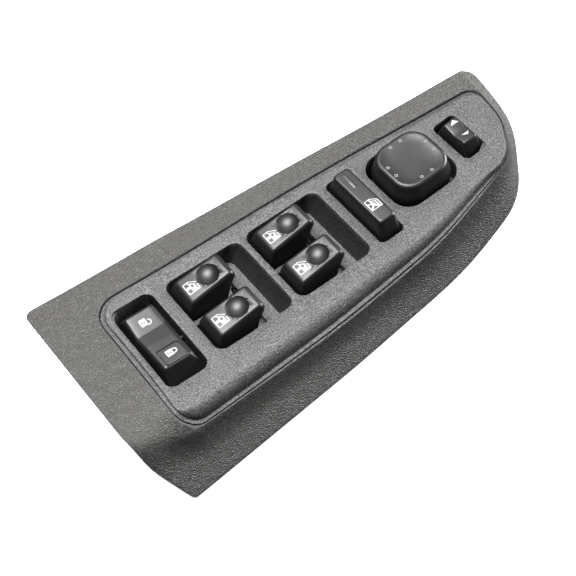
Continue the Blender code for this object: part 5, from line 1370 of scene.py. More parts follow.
@dataclass
class SwitchPlate:
    """The switch plate: rim, skin, wells with their finger recesses, bearing webs and bosses."""

    skirt: SkirtSurface
    finishes: Finishes
    wall: float = 2.2 * MM
    well_wall: float = 1.4 * MM
    flange_width: float = 1.9 * MM
    gap: float = 0.5 * MM
    recess: float = 10.0 * MM
    ledge: float = 6.4 * MM
    slope: float = 5.6 * MM
    foot: float = 25.5 * MM
    edge_round: float = 0.35 * MM
    web_half: float = 1.2 * MM

    @property
    def ledge_left(self) -> float:
        """Where a recess floor starts, from its well's left wall."""
        return ROW.window_width - self.slope - self.ledge

    def rings(self) -> list[Ring]:
        """Rings of the rim, from its underside out round the flange and over the shoulder.

        Returns:
            The rings, each with one point for each station.
        """
        inner = stations(ROW.plate_corners(), PLATE_ANCHORS, PLATE_COUNTS)
        outer = stations(ROW.bezel_corners(), BEZEL_ANCHORS, PLATE_COUNTS)
        lines = []
        for edge, beyond in zip(inner, outer):
            away = (edge - beyond).normalized()
            lip = self.skirt.height(edge.x, edge.y) - CROWN.rise(edge.x)
            flange = min(lip - 0.5 * MM, TOP - 1.0 * MM)
            rise = TOP - flange
            width = max(0.95 * rise, 1.0 * MM)
            foot = self.gap + self.flange_width
            under = lip - 2.6 * MM

            def spot(distance: float, height: float) -> Vector:
                """Point at a distance in from the lip."""
                place = edge + away * distance
                return Vector((place.x, place.y, height))

            line = [spot(foot + width + 1.5 * MM, TOP - self.wall),
                    spot(foot + self.wall * 0.8 + width * 0.45, min(TOP - self.wall, flange + rise * 0.55)),
                    spot(foot + self.wall * 0.8, under), spot(self.gap, under),
                    spot(self.gap, flange - 0.3 * MM), spot(self.gap + 0.09 * MM, flange - 0.09 * MM),
                    spot(self.gap + 0.3 * MM, flange), spot(foot - 0.25 * MM, flange),
                    spot(foot - 0.03 * MM, flange + 0.12 * MM)]
            for step in range(1, 11):
                angle = math.pi / 2 * step / 10
                line.append(spot(foot + width * (1 - math.cos(angle)), flange + rise * math.sin(angle)))
            lines.append(line)
        return [[line[place] for line in lines] for place in range(len(lines[0]))]

    def window_profile(self, left: float, grow: float) -> list[Vector]:
        """Section of a window well, or of the wall round it where grow is the wall.

        Args:
            left: x of the well's left wall.
            grow: wall thickness, or 0 for the well itself.

        Returns:
            The section's points as (x, height).
        """
        floor_left, floor_right = left + self.ledge_left, left + self.ledge_left + self.ledge
        right = left + ROW.window_width
        if grow:
            floor = TOP - self.recess - grow
            points = [(left - grow, TOP - self.wall / 2), (left - grow, self.foot),
                      (floor_left + grow, self.foot), (floor_left + grow, floor),
                      (floor_right + 0.9 * MM, floor), (right + grow, TOP - self.wall / 2)]
        else:
            high, low = TOP + 12 * MM, self.foot - 8 * MM
            points = [(left, high), (left, low), (floor_left, low), (floor_left, TOP - self.recess),
                      (floor_right, TOP - self.recess), (right, TOP - 0.5 * MM), (right, high)]
        return [Vector(point) for point in points]

    def window_cutter(self, left: float) -> bpy.types.Object:
        """The space of a window well, with its upright corners rounded.

        Args:
            left: x of the well's left wall.

        Returns:
            The cutter.
        """
        half = ROW.window_length / 2
        right = left + ROW.window_width
        item = prism("window_space", self.window_profile(left, 0.0),
                     ROW.window_y - half, ROW.window_y + half, Axis.Y)

        def upright(edge: bmesh.types.BMEdge) -> bool:
            """Is this one of the well's upright corners.

            Args:
                edge: an edge in edit mode.

            Returns:
                Whether it is to be bevelled.
            """
            first, second = edge.verts
            if abs(first.co.y - second.co.y) > 1e-6 or abs(first.co.z - second.co.z) < 1e-4:
                return False
            return min(first.co.x, second.co.x) < left + 1e-6 or max(first.co.x, second.co.x) > right - 1e-6
        round_edges(item, 4.5 * MM, 10, upright)
        return item

    def build(self) -> bpy.types.Object:
        """Build and dress the plate.

        Returns:
            The plate.
        """
        item = loft("plate", self.rings())
        half = ROW.window_length / 2 + self.well_wall
        for left in (ROW.rear, ROW.front):
            join(item, prism("window_wall", self.window_profile(left, self.well_wall),
                             ROW.window_y - half, ROW.window_y + half, Axis.Y))
        singles = ((ROW.lock_x, ROW.lock_y, ROW.lock_width, ROW.lock_length, 4.5 * MM),
                   (ROW.bar_x, ROW.bar_y, ROW.bar_width, ROW.bar_length, 2.6 * MM),
                   (ROW.pad_x, ROW.pad_y, ROW.pad_well, ROW.pad_well, 9.0 * MM),
                   (ROW.selector_x, ROW.selector_y, ROW.selector_width, ROW.selector_length, 2.6 * MM))
        for x, y, width, length, radius in singles:
            grown = box_corners(x, y, width + 2 * self.well_wall, length + 2 * self.well_wall,
                                radius + self.well_wall)
            join(item, prism("well_wall", rounded(grown, 8), self.foot, TOP - self.wall / 2))
        for left in (ROW.rear, ROW.front):
            cut(item, self.window_cutter(left))
        for x, y, width, length, radius in singles:
            space = rounded(box_corners(x, y, width, length, radius), 8)
            cut(item, prism("well_space", space, 10 * MM, TOP + 12 * MM))

        def mouth(edge: bmesh.types.BMEdge) -> bool:
            """Is this an edge where a well breaks the top.

            Args:
                edge: an edge in edit mode.

            Returns:
                Whether it is to be bevelled.
            """
            if len(edge.link_faces) != 2 or abs(edge.verts[0].co.z - TOP) > 1e-6:
                return False
            if abs(edge.verts[1].co.z - TOP) > 1e-6:
                return False
            return sorted(abs(face.normal.z) < 0.5 for face in edge.link_faces) == [False, True]
        round_edges(item, self.edge_round, 2, mouth)
        for left in (ROW.rear, ROW.front):
            web_end = left + self.ledge_left + self.well_wall / 2
            join(item, block("web",
                             (left - self.well_wall / 2, ROW.window_y - self.web_half, self.foot + 0.5 * MM),
                             (web_end, ROW.window_y + self.web_half, TOP - 5.5 * MM)))
            spot = Vector((left + KEY_PIVOT_X, ROW.window_y, TOP - PIVOT_DEPTH))
            reach = Vector((0, half + 1 * MM, 0))
            cut(item, rod("bearing", spot - reach, spot + reach, BEARING_RADIUS))
        for x, y, width in ((ROW.lock_x, ROW.lock_y, ROW.lock_width),
                            (ROW.selector_x, ROW.selector_y, ROW.selector_width)):
            reach = Vector((width / 2 + self.well_wall + 0.4 * MM, 0, 0))
            spot = Vector((x, y, TOP - PIVOT_DEPTH))
            cut(item, rod("bearing", spot - reach, spot + reach, BEARING_RADIUS))
        self.underside(item)
        follow_crown(item)
        return dress(item, self.finishes.plate, "plate_plastic", "module", "switch_plate", angle=38.0)

    def underside(self, item: bpy.types.Object) -> None:
        """Join the rim wall and the screw bosses below the skin.

        Args:
            item: the plate.
        """
        outer = ROW.housing_corners()
        rim = prism("rim", rounded(outer, 6), self.foot, TOP - self.wall / 2)
        cut(rim, prism("rim_space", rounded(inset(outer, 2 * MM), 6), self.foot - 5 * MM, TOP))
        join(item, rim)
        floor_left = self.ledge_left + 6 * MM
        bosses = [(left + floor_left, ROW.window_y + side * 14 * MM, TOP - self.recess - self.well_wall / 2)
                  for left in (ROW.rear, ROW.front) for side in (-1, 1)]
        skin = TOP - self.wall / 2
        bosses += [(ROW.pad + 4.0 * MM, ROW.pad_y - ROW.pad_well / 2 - 4.1 * MM, skin),
                   (ROW.selector + ROW.selector_width + 3.5 * MM, ROW.selector_y + 2.4 * MM, skin)]
        for x, y, head in bosses:
            low = Vector((x, y, 18 * MM))
            join(item, rod("boss", low, Vector((x, y, head)), 3.2 * MM))
            depth = min(head - 2.2 * MM, 30 * MM)
            cut(item, rod("thread", low - Vector((0, 0, 2 * MM)), Vector((x, y, depth)), 1.6 * MM, sides=20))
        near = rounded(ROW.plate_corners(), 5)
        for x in TAB_XS:
            edge = lowest_y(near, x)
            low = Vector((x, edge + TAB_HOLE_IN, 27.9 * MM))
            head = self.skirt.height(x, edge) - CROWN.rise(x) + 3.5 * MM
            join(item, rod("tab_boss", low, Vector((low.x, low.y, head)), 2.3 * MM))
            cut(item, rod("tab_thread", low - Vector((0, 0, 2.3 * MM)), low + Vector((0, 0, 4.7 * MM)),
                          SCREW_HOLE, sides=20))
        for side in (-1, 1):
            low = Vector((ROW.pad_x - 16.4 * MM, ROW.pad_y + side * 16.4 * MM, self.foot))
            join(item, rod("carrier_boss", low, Vector((low.x, low.y, skin)), 2.4 * MM))
            cut(item, rod("carrier_thread", low - Vector((0, 0, 2 * MM)), low + Vector((0, 0, 7 * MM)),
                          SCREW_HOLE, sides=20))


def inset(corners: Sequence[Corner], distance: float) -> list[Corner]:
    """The corners of an anticlockwise outline moved inwards.

    Args:
        corners: corners as (a, b, radius).
        distance: how far each side moves.

    Returns:
        The moved corners, with smaller radii.
    """
    result = []
    count = len(corners)
    for index, (a, b, radius) in enumerate(corners):
        here = Vector((a, b))
        back = (here - Vector(corners[index - 1][:2])).normalized()
        ahead = (Vector(corners[(index + 1) % count][:2]) - here).normalized()
        first, second = Vector((-back.y, back.x)), Vector((-ahead.y, ahead.x))
        middle = (first + second).normalized()
        shift = middle * (distance / middle.dot(first))
        result.append((a + shift.x, b + shift.y, max(radius - distance, 0.5 * MM)))
    return result


class Glyph(Enum):
    """The pictograms on the keys."""

    WINDOW = "window"
    CROSSED_WINDOW = "crossed_window"
    LOCKED = "locked"
    UNLOCKED = "unlocked"


@dataclass(frozen=True)
class Pictogram:
    """A white printed sign, drawn flat in millimetres and draped on its key.

    Attributes:
        glyph: which sign.
        centre: plan position of its middle.
    """

    glyph: Glyph
    centre: tuple[float, float]

    def plate(self, name: str, points: Sequence[tuple[float, float]]) -> bpy.types.Object:
        """A thin slab from points in millimetres round the sign's middle."""
        shifted = [Vector((self.centre[0] + a * MM, self.centre[1] + b * MM)) for a, b in points]
        return prism(name, shifted, SIGN_LOW, SIGN_HIGH)

    def hole(self, points: Sequence[tuple[float, float]]) -> bpy.types.Object:
        """A cutter through the slab."""
        shifted = [Vector((self.centre[0] + a * MM, self.centre[1] + b * MM)) for a, b in points]
        return prism("hole", shifted, TOP + 29 * MM, TOP + 31 * MM)

    def window(self, name: str, crossed: bool) -> bpy.types.Object:
        """A door window: frame, pane and the dark openings between them.

        Args:
            name: the object's name.
            crossed: whether the pane is crossed out.

        Returns:
            The flat sign.
        """
        outer = rounded([(-3.0, 3.1, 0.5), (-3.0, -3.2, 0.35), (3.0, -3.2, 0.35), (3.0, 1.1, 0.7),
                         (0.1, 3.2, 0.8)], 4)
        item = self.plate(name, [tuple(point) for point in outer])
        cut(item, self.hole([(1.95, -2.4), (2.45, -2.4), (2.45, 0.9), (0.2, 2.65), (-0.3, 2.65), (-0.3, 2.2),
                             (1.95, 0.6)]))
        if crossed:
            holes = ([(-2.45, 2.7), (-2.45, 1.2), (-0.9, 0.5), (-0.75, 2.0), (-1.0, 2.7)],
                     [(-2.45, 0.5), (-2.45, -1.9), (-1.2, -0.9), (-1.1, -0.1)],
                     [(-1.9, -2.7), (0.9, -2.7), (-0.2, -1.5), (-0.6, -1.5)],
                     [(0.1, 0.5), (1.4, -0.6), (1.4, 0.3), (0.3, 1.4)],
                     [(0.4, -0.9), (1.4, -1.9), (1.4, -1.2), (0.5, -0.4)])
        else:
            holes = ([(-2.45, 2.65), (-2.45, 0.7), (-0.6, 0.7), (-0.6, 2.1), (-1.1, 2.65)],
                     [(-2.45, -0.8), (-2.45, -2.65), (-0.7, -2.65), (-0.7, -0.8)],
                     [(0.0, 0.8), (0.0, -0.6), (1.05, -0.6), (1.05, 0.8)])
        for points in holes:
            cut(item, self.hole(points))
        return item

    def padlock(self, name: str, closed: bool) -> bpy.types.Object:
        """A padlock lying with its shackle towards +X.

        Args:
            name: the object's name.
            closed: whether the shackle is closed.

        Returns:
            The flat sign.
        """
        body = rounded([(-2.6, 1.7, 0.3), (-2.6, -1.7, 0.3), (0.6, -1.7, 0.3), (0.6, 1.7, 0.3)], 3)
        item = self.plate(name, [tuple(point) for point in body])
        turn, drop = (0.0, 0.0) if closed else (-0.9, -0.7)
        arc = []
        for radius, steps in ((1.4, range(13)), (0.8, range(12, -1, -1))):
            arc += [(1.3 + radius * math.sin(math.pi * step / 12),
                     drop + radius * math.cos(math.pi * step / 12)) for step in steps]
        if closed:
            outline = [(0.4, 1.4)] + arc[:13] + [(0.4, -1.4), (0.4, -0.8)] + arc[13:] + [(0.4, 0.8)]
        else:
            outline = arc[:13] + [(0.4, -1.4 + drop), (0.4, -0.8 + drop)] + arc[13:]
        join(item, self.plate("shackle", outline))
        for a in (-1.7, -0.5):
            cut(item, self.hole([(a - 0.33, -0.33), (a + 0.33, -0.33), (a + 0.33, 0.33), (a - 0.33, 0.33)]))
        return item

    def build(self, name: str, on: bpy.types.Object, finishes: Finishes, body: str) -> bpy.types.Object:
        """Cut the sign and drape it on its key.

        Args:
            name: the object's name.
            on: the key.
            finishes: the finishes.
            body: the body that the key rides on.

        Returns:
            The dressed sign.
        """
        if self.glyph in (Glyph.WINDOW, Glyph.CROSSED_WINDOW):
            item = self.window(name, self.glyph is Glyph.CROSSED_WINDOW)
        else:
            item = self.padlock(name, self.glyph is Glyph.LOCKED)
        lay_on(item, surface_of(on))
        return dress(item, finishes.print, "key_plastic", body)


@dataclass
class WindowKey:
    """A window key: drafted paddle with a finger lip, a dimple, pins and two feet."""

    label: str
    left: float
    centre_y: float
    inward: int
    finishes: Finishes
    low_half: float = 9.35 * MM
    top_half: float = 7.3 * MM
    height_low: float = 3.7 * MM
    height_nose: float = 7.2 * MM
    lip: float = 27.8 * MM
    dimple_x: float = 17.4 * MM
    dimple_radius: float = 5.5 * MM
    dimple_depth: float = 1.9 * MM

    def build(self) -> bpy.types.Object:
        """Build and dress the key and its pictogram.

        Returns:
            The key.
        """
        name = "window_key_" + self.label
        base = -12.2 * MM
        corners = [(1.4, -12.2, 0.6), (1.7, -1.0, 5.0), (4.1, 3.7, 3.8), (26.2, 7.2, 2.4),
                   (27.8, 4.0, 2.2), (23.4, -1.6, 6.0), (19.8, -6.5, 4.0), (19.8, -12.2, 0.6)]
        placed = [(self.left + a * MM, TOP + b * MM, radius * MM) for a, b, radius in corners]
        item = prism(name + "_cap", rounded(placed, 10),
                     self.centre_y - 1 * MM, self.centre_y + 1 * MM, Axis.Y)
        draft(item, Axis.Y, self.centre_y, (TOP - PIVOT_DEPTH, self.low_half),
              (TOP + self.height_low, self.top_half))
        round_edges(item, 1.7 * MM, 6, side_edges(Axis.Y, TOP - 3 * MM), clamp=False)
        slope = (self.height_nose - self.height_low) / (self.lip - 5.7 * MM)
        surface = self.height_low + slope * (self.dimple_x - 4.1 * MM)
        ball = (self.dimple_radius ** 2 + self.dimple_depth ** 2) / (2 * self.dimple_depth)
        deselect()
        bpy.ops.mesh.primitive_uv_sphere_add(segments=72, ring_count=48, radius=ball, location=(
            self.left + self.dimple_x - slope * (ball - self.dimple_depth), self.centre_y,
            TOP + surface + ball - self.dimple_depth))
        cut(item, settle(bpy.context.object, "dimple"))
        rim = rim_edges(self.left + self.dimple_x, self.centre_y, self.dimple_radius)
        round_edges(item, 0.35 * MM, 3, rim)
        pocket = block("pocket", (self.left + 3.2 * MM, self.centre_y - 7.55 * MM, TOP + base - 1 * MM),
                       (self.left + 18.0 * MM, self.centre_y + 7.55 * MM, TOP - 3.4 * MM))
        cut(item, pocket)
        self.nubs(item, surface, slope)
        pivot = Vector((self.left + KEY_PIVOT_X, self.centre_y, TOP - PIVOT_DEPTH))
        root = Vector((0, self.inward * 8.3 * MM, 0))
        join_pin(item, pivot + root, pivot + Vector((0, self.inward * 10.75 * MM, 0)))
        join_pin(item, pivot - root, pivot - Vector((0, self.inward * 11.95 * MM, 0)))
        for x in (self.left + 3.0 * MM, self.left + 18.2 * MM):
            join_foot(item, x, self.centre_y, TOP - 9.6 * MM)
        follow_crown(item)
        body = "key_" + self.label
        sign = Pictogram(Glyph.WINDOW, (self.left + 8.6 * MM, self.centre_y - 0.2 * MM))
        sign.build(name + "_sign", item, self.finishes, body)
        return dress(item, self.finishes.key, "key_plastic", body, name)

    def nubs(self, item: bpy.types.Object, surface: float, slope: float) -> None:
        """A raised nub at the near end of the dimple and a notch at the lip's end.

        Args:
            item: the key.
            surface: height of the top at the dimple, above the plate.
            slope: rise of the top along X.
        """
        for side in (-1, 1):
            x = self.left + self.dimple_x + side * (self.dimple_radius - 0.15 * MM)
            z = TOP + surface + side * slope * self.dimple_radius
            deselect()
            bpy.ops.mesh.primitive_uv_sphere_add(segments=20, ring_count=12, radius=0.62 * MM,
                                                 location=(x, self.centre_y, z - 0.12 * MM))
            bpy.context.object.scale = (1.5, 0.8, 0.75)
            nub = settle(bpy.context.object, "nub")
            if side < 0:
                join(item, nub)
            else:
                cut(item, nub)


@dataclass
class LockRocker:
    """The door lock rocker: shallow V top, sloping ends, grooved pad, pins and feet."""

    finishes: Finishes
    top_half: float = 7.3 * MM
    low_half: float = 9.8 * MM
    end_gap: float = 2.6 * MM
    top_length: float = 31.6 * MM
    height: float = 2.8 * MM
    valley: float = 0.3 * MM
    valley_y: float = 5.6 * MM
    fold_y: float = 1.5 * MM
    fold_height: float = 1.5 * MM
    pad_width: float = 9.6 * MM
    pad_length: float = 8.1 * MM

    def build(self) -> bpy.types.Object:
        """Build and dress the rocker and its two pictograms.

        Returns:
            The rocker.
        """
        x, y = ROW.lock_x, ROW.lock_y
        low, half, base = ROW.lock_length / 2 - self.end_gap, self.top_length / 2, TOP - ROCKER_DEPTH
        corners = [(y - low, base, 0.6 * MM), (y - low + 0.6 * MM, TOP - 6 * MM, 6 * MM),
                   (y - half, TOP + self.height, 2.0 * MM),
                   (y - self.fold_y, TOP + self.fold_height, 14 * MM),
                   (y + self.valley_y, TOP + self.valley, 2.2 * MM), (y + half, TOP + self.height, 2.0 * MM),
                   (y + low - 0.6 * MM, TOP - 6 * MM, 6 * MM), (y + low, base, 0.6 * MM)]
        item = prism("lock_rocker_cap", rounded(corners, 10), x - 1 * MM, x + 1 * MM, Axis.X)
        draft(item, Axis.X, x, (TOP - PIVOT_DEPTH, self.low_half), (TOP + self.height, self.top_half))
        round_edges(item, 1.8 * MM, 6, side_edges(Axis.X, TOP - 3.5 * MM), clamp=False)
        self.groove(item, x, y - half + 0.9 * MM + self.pad_length / 2, y, half)
        cut(item, block("pocket", (x - 8 * MM, y - half, base - 1 * MM),
                        (x + 8 * MM, y + half, TOP - 3.4 * MM)))
        pivot = Vector((x, y, TOP - PIVOT_DEPTH))
        for side in (-1, 1):
            join_pin(item, pivot + Vector((side * 8.7 * MM, 0, 0)), pivot + Vector((side * 11.6 * MM, 0, 0)))
            join_foot(item, x, y + side * 9 * MM, TOP - 2.6 * MM)
        follow_crown(item)
        for name, glyph, place in (("unlock_sign", Glyph.UNLOCKED, (x + 0.1 * MM, y + 10.2 * MM)),
                                   ("lock_sign", Glyph.LOCKED, (x + 0.3 * MM, y - 9.9 * MM))):
            Pictogram(glyph, place).build(name, item, self.finishes, "lock")
        return dress(item, self.finishes.key, "key_plastic", "lock", "lock_rocker")

    def groove(self, item: bpy.types.Object, x: float, pad_y: float, y: float, half: float) -> None:
        """Cut the groove round the lock pad, at an even depth below the sloping top.

        Args:
            item: the rocker.
            x: x of its middle.
            pad_y: y of the pad's middle.
            y: y of its middle.
            half: half the length of its top.
        """
        slope = (self.height - self.fold_height) / (half - self.fold_y)
        rings = []
        for grow, sink in ((0.0, 4 * MM), (0.85 * MM, 4 * MM), (0.85 * MM, -0.55 * MM), (0.0, -0.55 * MM)):
            outline = rounded(box_corners(x, pad_y, self.pad_width + 2 * grow, self.pad_length + 2 * grow,
                                          0.9 * MM + grow), 5)
            rings.append([Vector((p.x, p.y, TOP + self.fold_height + (y - self.fold_y - p.y) * slope + sink))
                          for p in outline])
        cut(item, loft("groove", rings, closed=True))


@dataclass
class LockoutButton:
    """The window lock-out button and its light pipe."""

    finishes: Finishes
    top_width: float = 8.0 * MM
    top_length: float = 33.0 * MM
    height: float = 9.0 * MM
    rim_width: float = 11.4 * MM
    rim_length: float = 39.4 * MM

    def build(self) -> bpy.types.Object:
        """Build and dress the button.

        Returns:
            The light pipe.
        """
        x, y = ROW.bar_x, ROW.bar_y
        guide = (ROW.bar_width - 0.6 * MM, ROW.bar_length - 0.6 * MM)
        levels = [(*guide, -11.5, 2.3), (*guide, -4.0, 2.3),
                  (guide[0] - 0.4 * MM, guide[1] - 0.4 * MM, -3.8, 2.1),
                  (self.rim_width + 0.2 * MM, self.rim_length + 0.2 * MM, -3.4, 2.2),
                  (self.rim_width, self.rim_length, -3.0, 2.2),
                  (self.rim_width - 0.4 * MM, self.rim_length - 0.8 * MM, 0.0, 2.2)]
        edge, crest = 1.5, 9.0
        for step in range(9):
            angle = math.pi / 2 * step / 8
            shrink = edge * (1 - math.cos(angle)) * MM
            levels.append((self.top_width + 1.2 * MM - 2 * shrink, self.top_length + 1.6 * MM - 2 * shrink,
                           crest - edge + edge * math.sin(angle), 2.1 - 0.9 * (1 - math.cos(angle))))
        rings = []
        for width, length, z, radius in levels:
            outline = rounded(box_corners(x, y, width, length, radius * MM), 7)
            rings.append([Vector((p.x, p.y, TOP + z * MM)) for p in outline])
        item = loft("lockout_cap", rings)
        lens_y = y + 10 * MM
        cut(item, block("pocket", (x - 4.65 * MM, y - 18.9 * MM, TOP - 13 * MM),
                        (x + 4.65 * MM, y + 18.9 * MM, TOP - 3.6 * MM)),
            block("slot", (x - 0.9 * MM, lens_y - 4.65 * MM, TOP - 14 * MM),
                  (x + 0.9 * MM, lens_y + 4.65 * MM, TOP + 12 * MM)))
        join(item, rod("foot", Vector((x, y - 4 * MM, 22.3 * MM)), Vector((x, y - 4 * MM, TOP - 2.8 * MM)),
                       1.8 * MM))
        follow_crown(item)
        sign = Pictogram(Glyph.CROSSED_WINDOW, (x + 0.1 * MM, y - 6.6 * MM))
        sign.build("lockout_sign", item, self.finishes, "lockout")
        dress(item, self.finishes.key, "key_plastic", "lockout", "lockout_button")
        pipe = block("light_pipe", (x - 0.75 * MM, lens_y - 4.5 * MM, 17.5 * MM),
                     (x + 0.75 * MM, lens_y + 4.5 * MM, TOP + self.height - 0.1 * MM))
        finish_with(pipe, "BEVEL", width=0.12 * MM, segments=2)
        follow_crown(pipe)
        return dress(pipe, self.finishes.lens, "lens_clear", "lockout", "lockout_light_pipe")


@dataclass
class MirrorPad:
    """The mirror pad: a dished rounded square cap, its gimbal boss and feet, and eight raised rings.

    Its skirt is wider and deeper than the CAD node's, which is set back for the collision pieces.
    """

    finishes: Finishes
    top_half: float = 13.0 * MM
    low_half: float = 15.7 * MM
    dish: float = 0.7 * MM
    dot_reach: float = 11.0 * MM
    dot_pair: float = 2.9 * MM

    def build(self) -> bpy.types.Object:
        """Build and dress the pad and its rings.

        Returns:
            The pad.
        """
        x, y = ROW.pad_x, ROW.pad_y
        crest = 8.0
        levels = [(self.low_half, -3.0, 10.0), (self.low_half, -0.5, 10.0),
                  (self.low_half - 0.6 * MM, 2.2, 9.9), (self.low_half - 1.2 * MM, 4.6, 9.7)]
        for step in range(11):
            angle = math.pi / 2 * step / 10
            half = self.top_half + 1.4 * MM - 2.1 * MM * (1 - math.cos(angle))
            levels.append((half, crest - 2.0 + 2.0 * math.sin(angle), 9.6 - 2.1 * (1 - math.cos(angle))))
        for inside, share in ((1.6, 0.30), (2.6, 0.55), (3.9, 0.78), (5.6, 0.93), (8.0, 1.0), (11.4, 1.04)):
            levels.append((self.top_half - inside * MM, crest - share * self.dish / MM,
                           max(8.4 - inside, 0.8)))
        rings = []
        for half, z, radius in levels:
            outline = rounded(box_corners(x, y, 2 * half, 2 * half, radius * MM), 12)
            rings.append([Vector((p.x, p.y, TOP + z * MM)) for p in outline])
        item = loft("mirror_pad_cap", rings)
        hollow = rounded(box_corners(x, y, 26.8 * MM, 26.8 * MM, 8 * MM), 6)
        cut(item, prism("hollow", hollow, TOP - 6 * MM, TOP + 4.4 * MM))
        pivot = Vector((x, y, TOP - 11 * MM))
        join(item, rod("boss", pivot - Vector((0, 0, 2.2 * MM)), Vector((x, y, TOP + 5.4 * MM)), 2.9 * MM))
        for side in (-1, 1):
            join_pin(item, pivot + Vector((0, side * 1.0 * MM, 0)), pivot + Vector((0, side * 8.3 * MM, 0)))
            for other in (-1, 1):
                foot = Vector((x + side * 9.8 * MM, y + other * 9.8 * MM, FOOT_LOW))
                join(item, rod("foot", foot, Vector((foot.x, foot.y, TOP + 5.4 * MM)), 1.4 * MM))
        follow_crown(item)
        self.rings_on(item)
        return dress(item, self.finishes.key, "key_plastic", "pad", "mirror_pad")

    def rings_on(self, item: bpy.types.Object) -> None:
        """Set the eight small rings, two to a side.

        Args:
            item: the pad.
        """
        tree = surface_of(item)
        for index in range(8):
            side, end = divmod(index, 2)
            along, across = self.dot_reach, self.dot_pair * (1 if end else -1)
            turn = Matrix.Rotation(math.pi / 2 * side, 2)
            spot = turn @ Vector((along, across)) + Vector((ROW.pad_x, ROW.pad_y))
            hit = tree.ray_cast(Vector((spot.x, spot.y, TOP + 40 * MM)), Vector((0, 0, -1)))
            deselect()
            bpy.ops.mesh.primitive_torus_add(major_radius=0.62 * MM, minor_radius=0.24 * MM,
                                             major_segments=28, minor_segments=10,
                                             location=hit[0] + hit[1] * 0.02 * MM,
                                             rotation=hit[1].to_track_quat("Z", "Y").to_euler())
            ring = settle(bpy.context.object, "pad_ring_%d" % (index + 1))
            # The rings get light grey, a painted highlight.
            dress(ring, self.finishes.mark, "key_plastic", "pad", angle=60.0)


@dataclass
class MirrorSelector:
    """The mirror selector: a small rocker with a dip between its ends and two white arrows."""

    finishes: Finishes
    top_width: float = 7.6 * MM
    top_length: float = 14.6 * MM
    height: float = 5.0 * MM
    dip: float = 1.1 * MM

    def build(self) -> bpy.types.Object:
        """Build and dress the selector.

        Returns:
            The selector.
        """
        x, y = ROW.selector_x, ROW.selector_y
        low_x, low_y, half = 5.7 * MM, 10.5 * MM, self.top_length / 2
        base = TOP - ROCKER_DEPTH
        corners = [(y - low_y, base, 0.6 * MM), (y - low_y + 0.3 * MM, TOP - 3 * MM, 6 * MM),
                   (y - half, TOP + self.height, 1.6 * MM), (y, TOP + self.height - self.dip, 8 * MM),
                   (y + half, TOP + self.height, 1.6 * MM), (y + low_y - 0.3 * MM, TOP - 3 * MM, 6 * MM),
                   (y + low_y, base, 0.6 * MM)]
        item = prism("selector_cap", rounded(corners, 10), x - 1 * MM, x + 1 * MM, Axis.X)
        draft(item, Axis.X, x, (TOP - PIVOT_DEPTH, low_x), (TOP + self.height, self.top_width / 2))
        round_edges(item, 1.1 * MM, 5, side_edges(Axis.X, TOP - 2.5 * MM), clamp=False)
        cut(item, block("pocket", (x - 3.9 * MM, y - half, base - 1 * MM),
                        (x + 3.9 * MM, y + half, TOP - 3 * MM)))
        pivot = Vector((x, y, TOP - PIVOT_DEPTH))
        for side in (-1, 1):
            join_pin(item, pivot + Vector((side * 4.6 * MM, 0, 0)), pivot + Vector((side * 7.35 * MM, 0, 0)))
            join_foot(item, x, y + side * 5.6 * MM, TOP - 2.4 * MM)
        follow_crown(item)
        tree = surface_of(item)
        shapes = (("left", ((1.1, 6.7), (3.1, 4.2), (-1.5, 4.4))),
                  ("right", ((3.2, -2.4), (-1.1, -2.4), (1.3, -4.3))))
        for label, spots in shapes:
            points = [Vector((x + a * MM, y + b * MM)) for a, b in spots]
            arrow = prism("selector_arrow_" + label, points, SIGN_LOW, SIGN_HIGH)
            divide(arrow, 0.4 * MM)
            lay_on(arrow, tree)
            dress(arrow, self.finishes.print, "key_plastic", "selector")
        return dress(item, self.finishes.key, "key_plastic", "selector", "mirror_selector")


@dataclass
class Module:
    """The pieces below the plate, which keep their CAD shape and get their finishes."""

    finishes: Finishes

    def build(self) -> None:
        """Dress every carried-over node."""
        looks = {
            "lower_housing": self.finishes.case, "circuit_board": self.finishes.board,
            "dome_mat": self.finishes.silicone, "main_connector": self.finishes.header,
            "mirror_connector": self.finishes.header, "lockout_switch": self.finishes.case,
            "lockout_plunger": self.finishes.nylon, "indicator_led": self.finishes.lens,
            "gimbal_ring": self.finishes.nylon, "gimbal_carrier": self.finishes.case,
        }
        for name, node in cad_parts.items():
            if "screw" in name:
                looks[name] = self.finishes.screw
            if "clip" in name:
                looks[name] = self.finishes.clip
            if name not in looks:
                continue
            node.data.materials.clear()
            node.data.materials.append(looks[name])
            LOG.info("%s keeps its CAD shape", name)


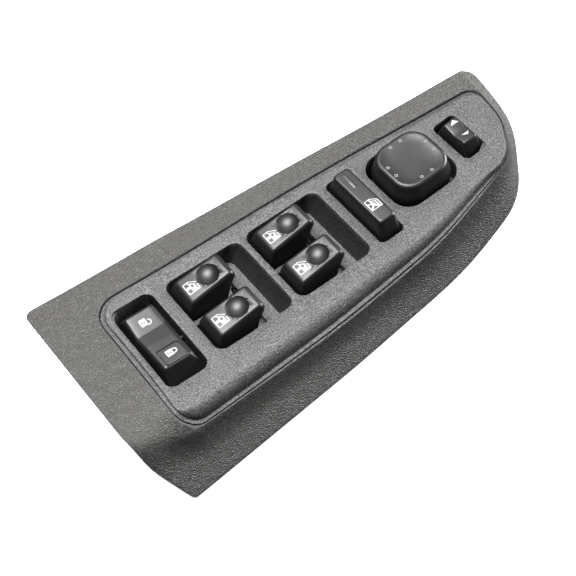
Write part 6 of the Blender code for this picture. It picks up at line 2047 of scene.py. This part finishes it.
@dataclass
class Studio:
    """The pale floor, the soft lights and the camera."""

    lens: float = 81.875
    place: tuple[float, float, float] = (-0.17834, -0.28539, 0.50658)

    def floor(self) -> None:
        """A wide pale floor that fades into the backdrop."""
        deselect()
        bpy.ops.mesh.primitive_plane_add(size=6.0, location=(0, 0, -0.4 * MM))
        item = bpy.context.object
        item.name = "floor"
        made, _, shader = new_material("floor_pale")
        shader.inputs["Base Color"].default_value = (0.9, 0.9, 0.9, 1.0)
        shader.inputs["Roughness"].default_value = 0.9
        shader.inputs["Emission Color"].default_value = (1.0, 1.0, 1.0, 1.0)
        shader.inputs["Emission Strength"].default_value = 0.9
        item.data.materials.append(made)
        item.visible_diffuse = False
        item.visible_glossy = False

    def light(self, name: str, place: Sequence[float], size: tuple[float, float], power: float) -> None:
        """One soft box, aimed at the part.

        Args:
            name: the light's name.
            place: where it hangs.
            size: its two sides.
            power: its power in watts.
        """
        lamp = bpy.data.lights.new(name, "AREA")
        lamp.shape = "RECTANGLE"
        lamp.size, lamp.size_y = size
        lamp.energy = power
        item = bpy.data.objects.new(name, lamp)
        bpy.context.scene.collection.objects.link(item)
        item.location = place
        item.rotation_euler = (Vector((0, 0, 0.03)) - Vector(place)).to_track_quat("-Z", "Y").to_euler()

    def surround(self) -> None:
        """A dim surround for the reflections, white behind the floor's far edge."""
        world = bpy.data.worlds.new("surround")
        bpy.context.scene.world = world
        world.use_nodes = True
        tree = world.node_tree
        back = tree.nodes["Background"]
        path = tree.nodes.new("ShaderNodeLightPath")
        mix = tree.nodes.new("ShaderNodeMix")
        mix.data_type = "RGBA"
        mix.inputs["A"].default_value = (0.035, 0.035, 0.036, 1.0)
        mix.inputs["B"].default_value = (1.0, 1.0, 1.0, 1.0)
        tree.links.new(path.outputs["Is Camera Ray"], mix.inputs["Factor"])
        tree.links.new(mix.outputs["Result"], back.inputs["Color"])

    def camera(self) -> None:
        """The camera at the photograph's angle."""
        data = bpy.data.cameras.new("camera")
        data.lens = self.lens
        data.sensor_width = 36.0
        item = bpy.data.objects.new("camera", data)
        bpy.context.scene.collection.objects.link(item)
        turn = Matrix(((0.795795, 0.534973, -0.283748), (-0.600509, 0.636733, -0.483694),
                       (-0.078091, 0.555315, 0.827966)))
        item.matrix_world = Matrix.Translation(self.place) @ turn.to_4x4()
        bpy.context.scene.camera = item

    def build(self) -> None:
        """Set everything up."""
        self.floor()
        bpy.context.scene.view_settings.view_transform = "Standard"
        self.light("overhead", (-0.09, 0.20, 0.92), (0.50, 0.40), 24.0)
        self.light("back", (0.35, 0.85, 0.70), (0.9, 0.5), 2.0)
        self.light("side", (0.98, -0.10, 0.30), (0.5, 0.4), 22.0)
        self.surround()
        self.camera()


def main() -> None:
    """Build every sub-assembly in order."""
    logging.basicConfig(level=logging.INFO, format="%(message)s")
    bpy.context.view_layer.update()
    Studio().build()
    finishes = Finishes.make()
    Module(finishes).build()
    skirt = SkirtSurface()
    TrimBezel(skirt, finishes).build()
    SwitchPlate(skirt, finishes).build()
    offset = 10.9 * MM
    for pair, left in (("rear", ROW.rear), ("front", ROW.front)):
        WindowKey(pair + "_inboard", left, ROW.window_y - offset, 1, finishes).build()
        WindowKey(pair + "_outboard", left, ROW.window_y + offset, -1, finishes).build()
    LockRocker(finishes).build()
    LockoutButton(finishes).build()
    MirrorPad(finishes).build()
    MirrorSelector(finishes).build()


if __name__ == "__main__":
    main()
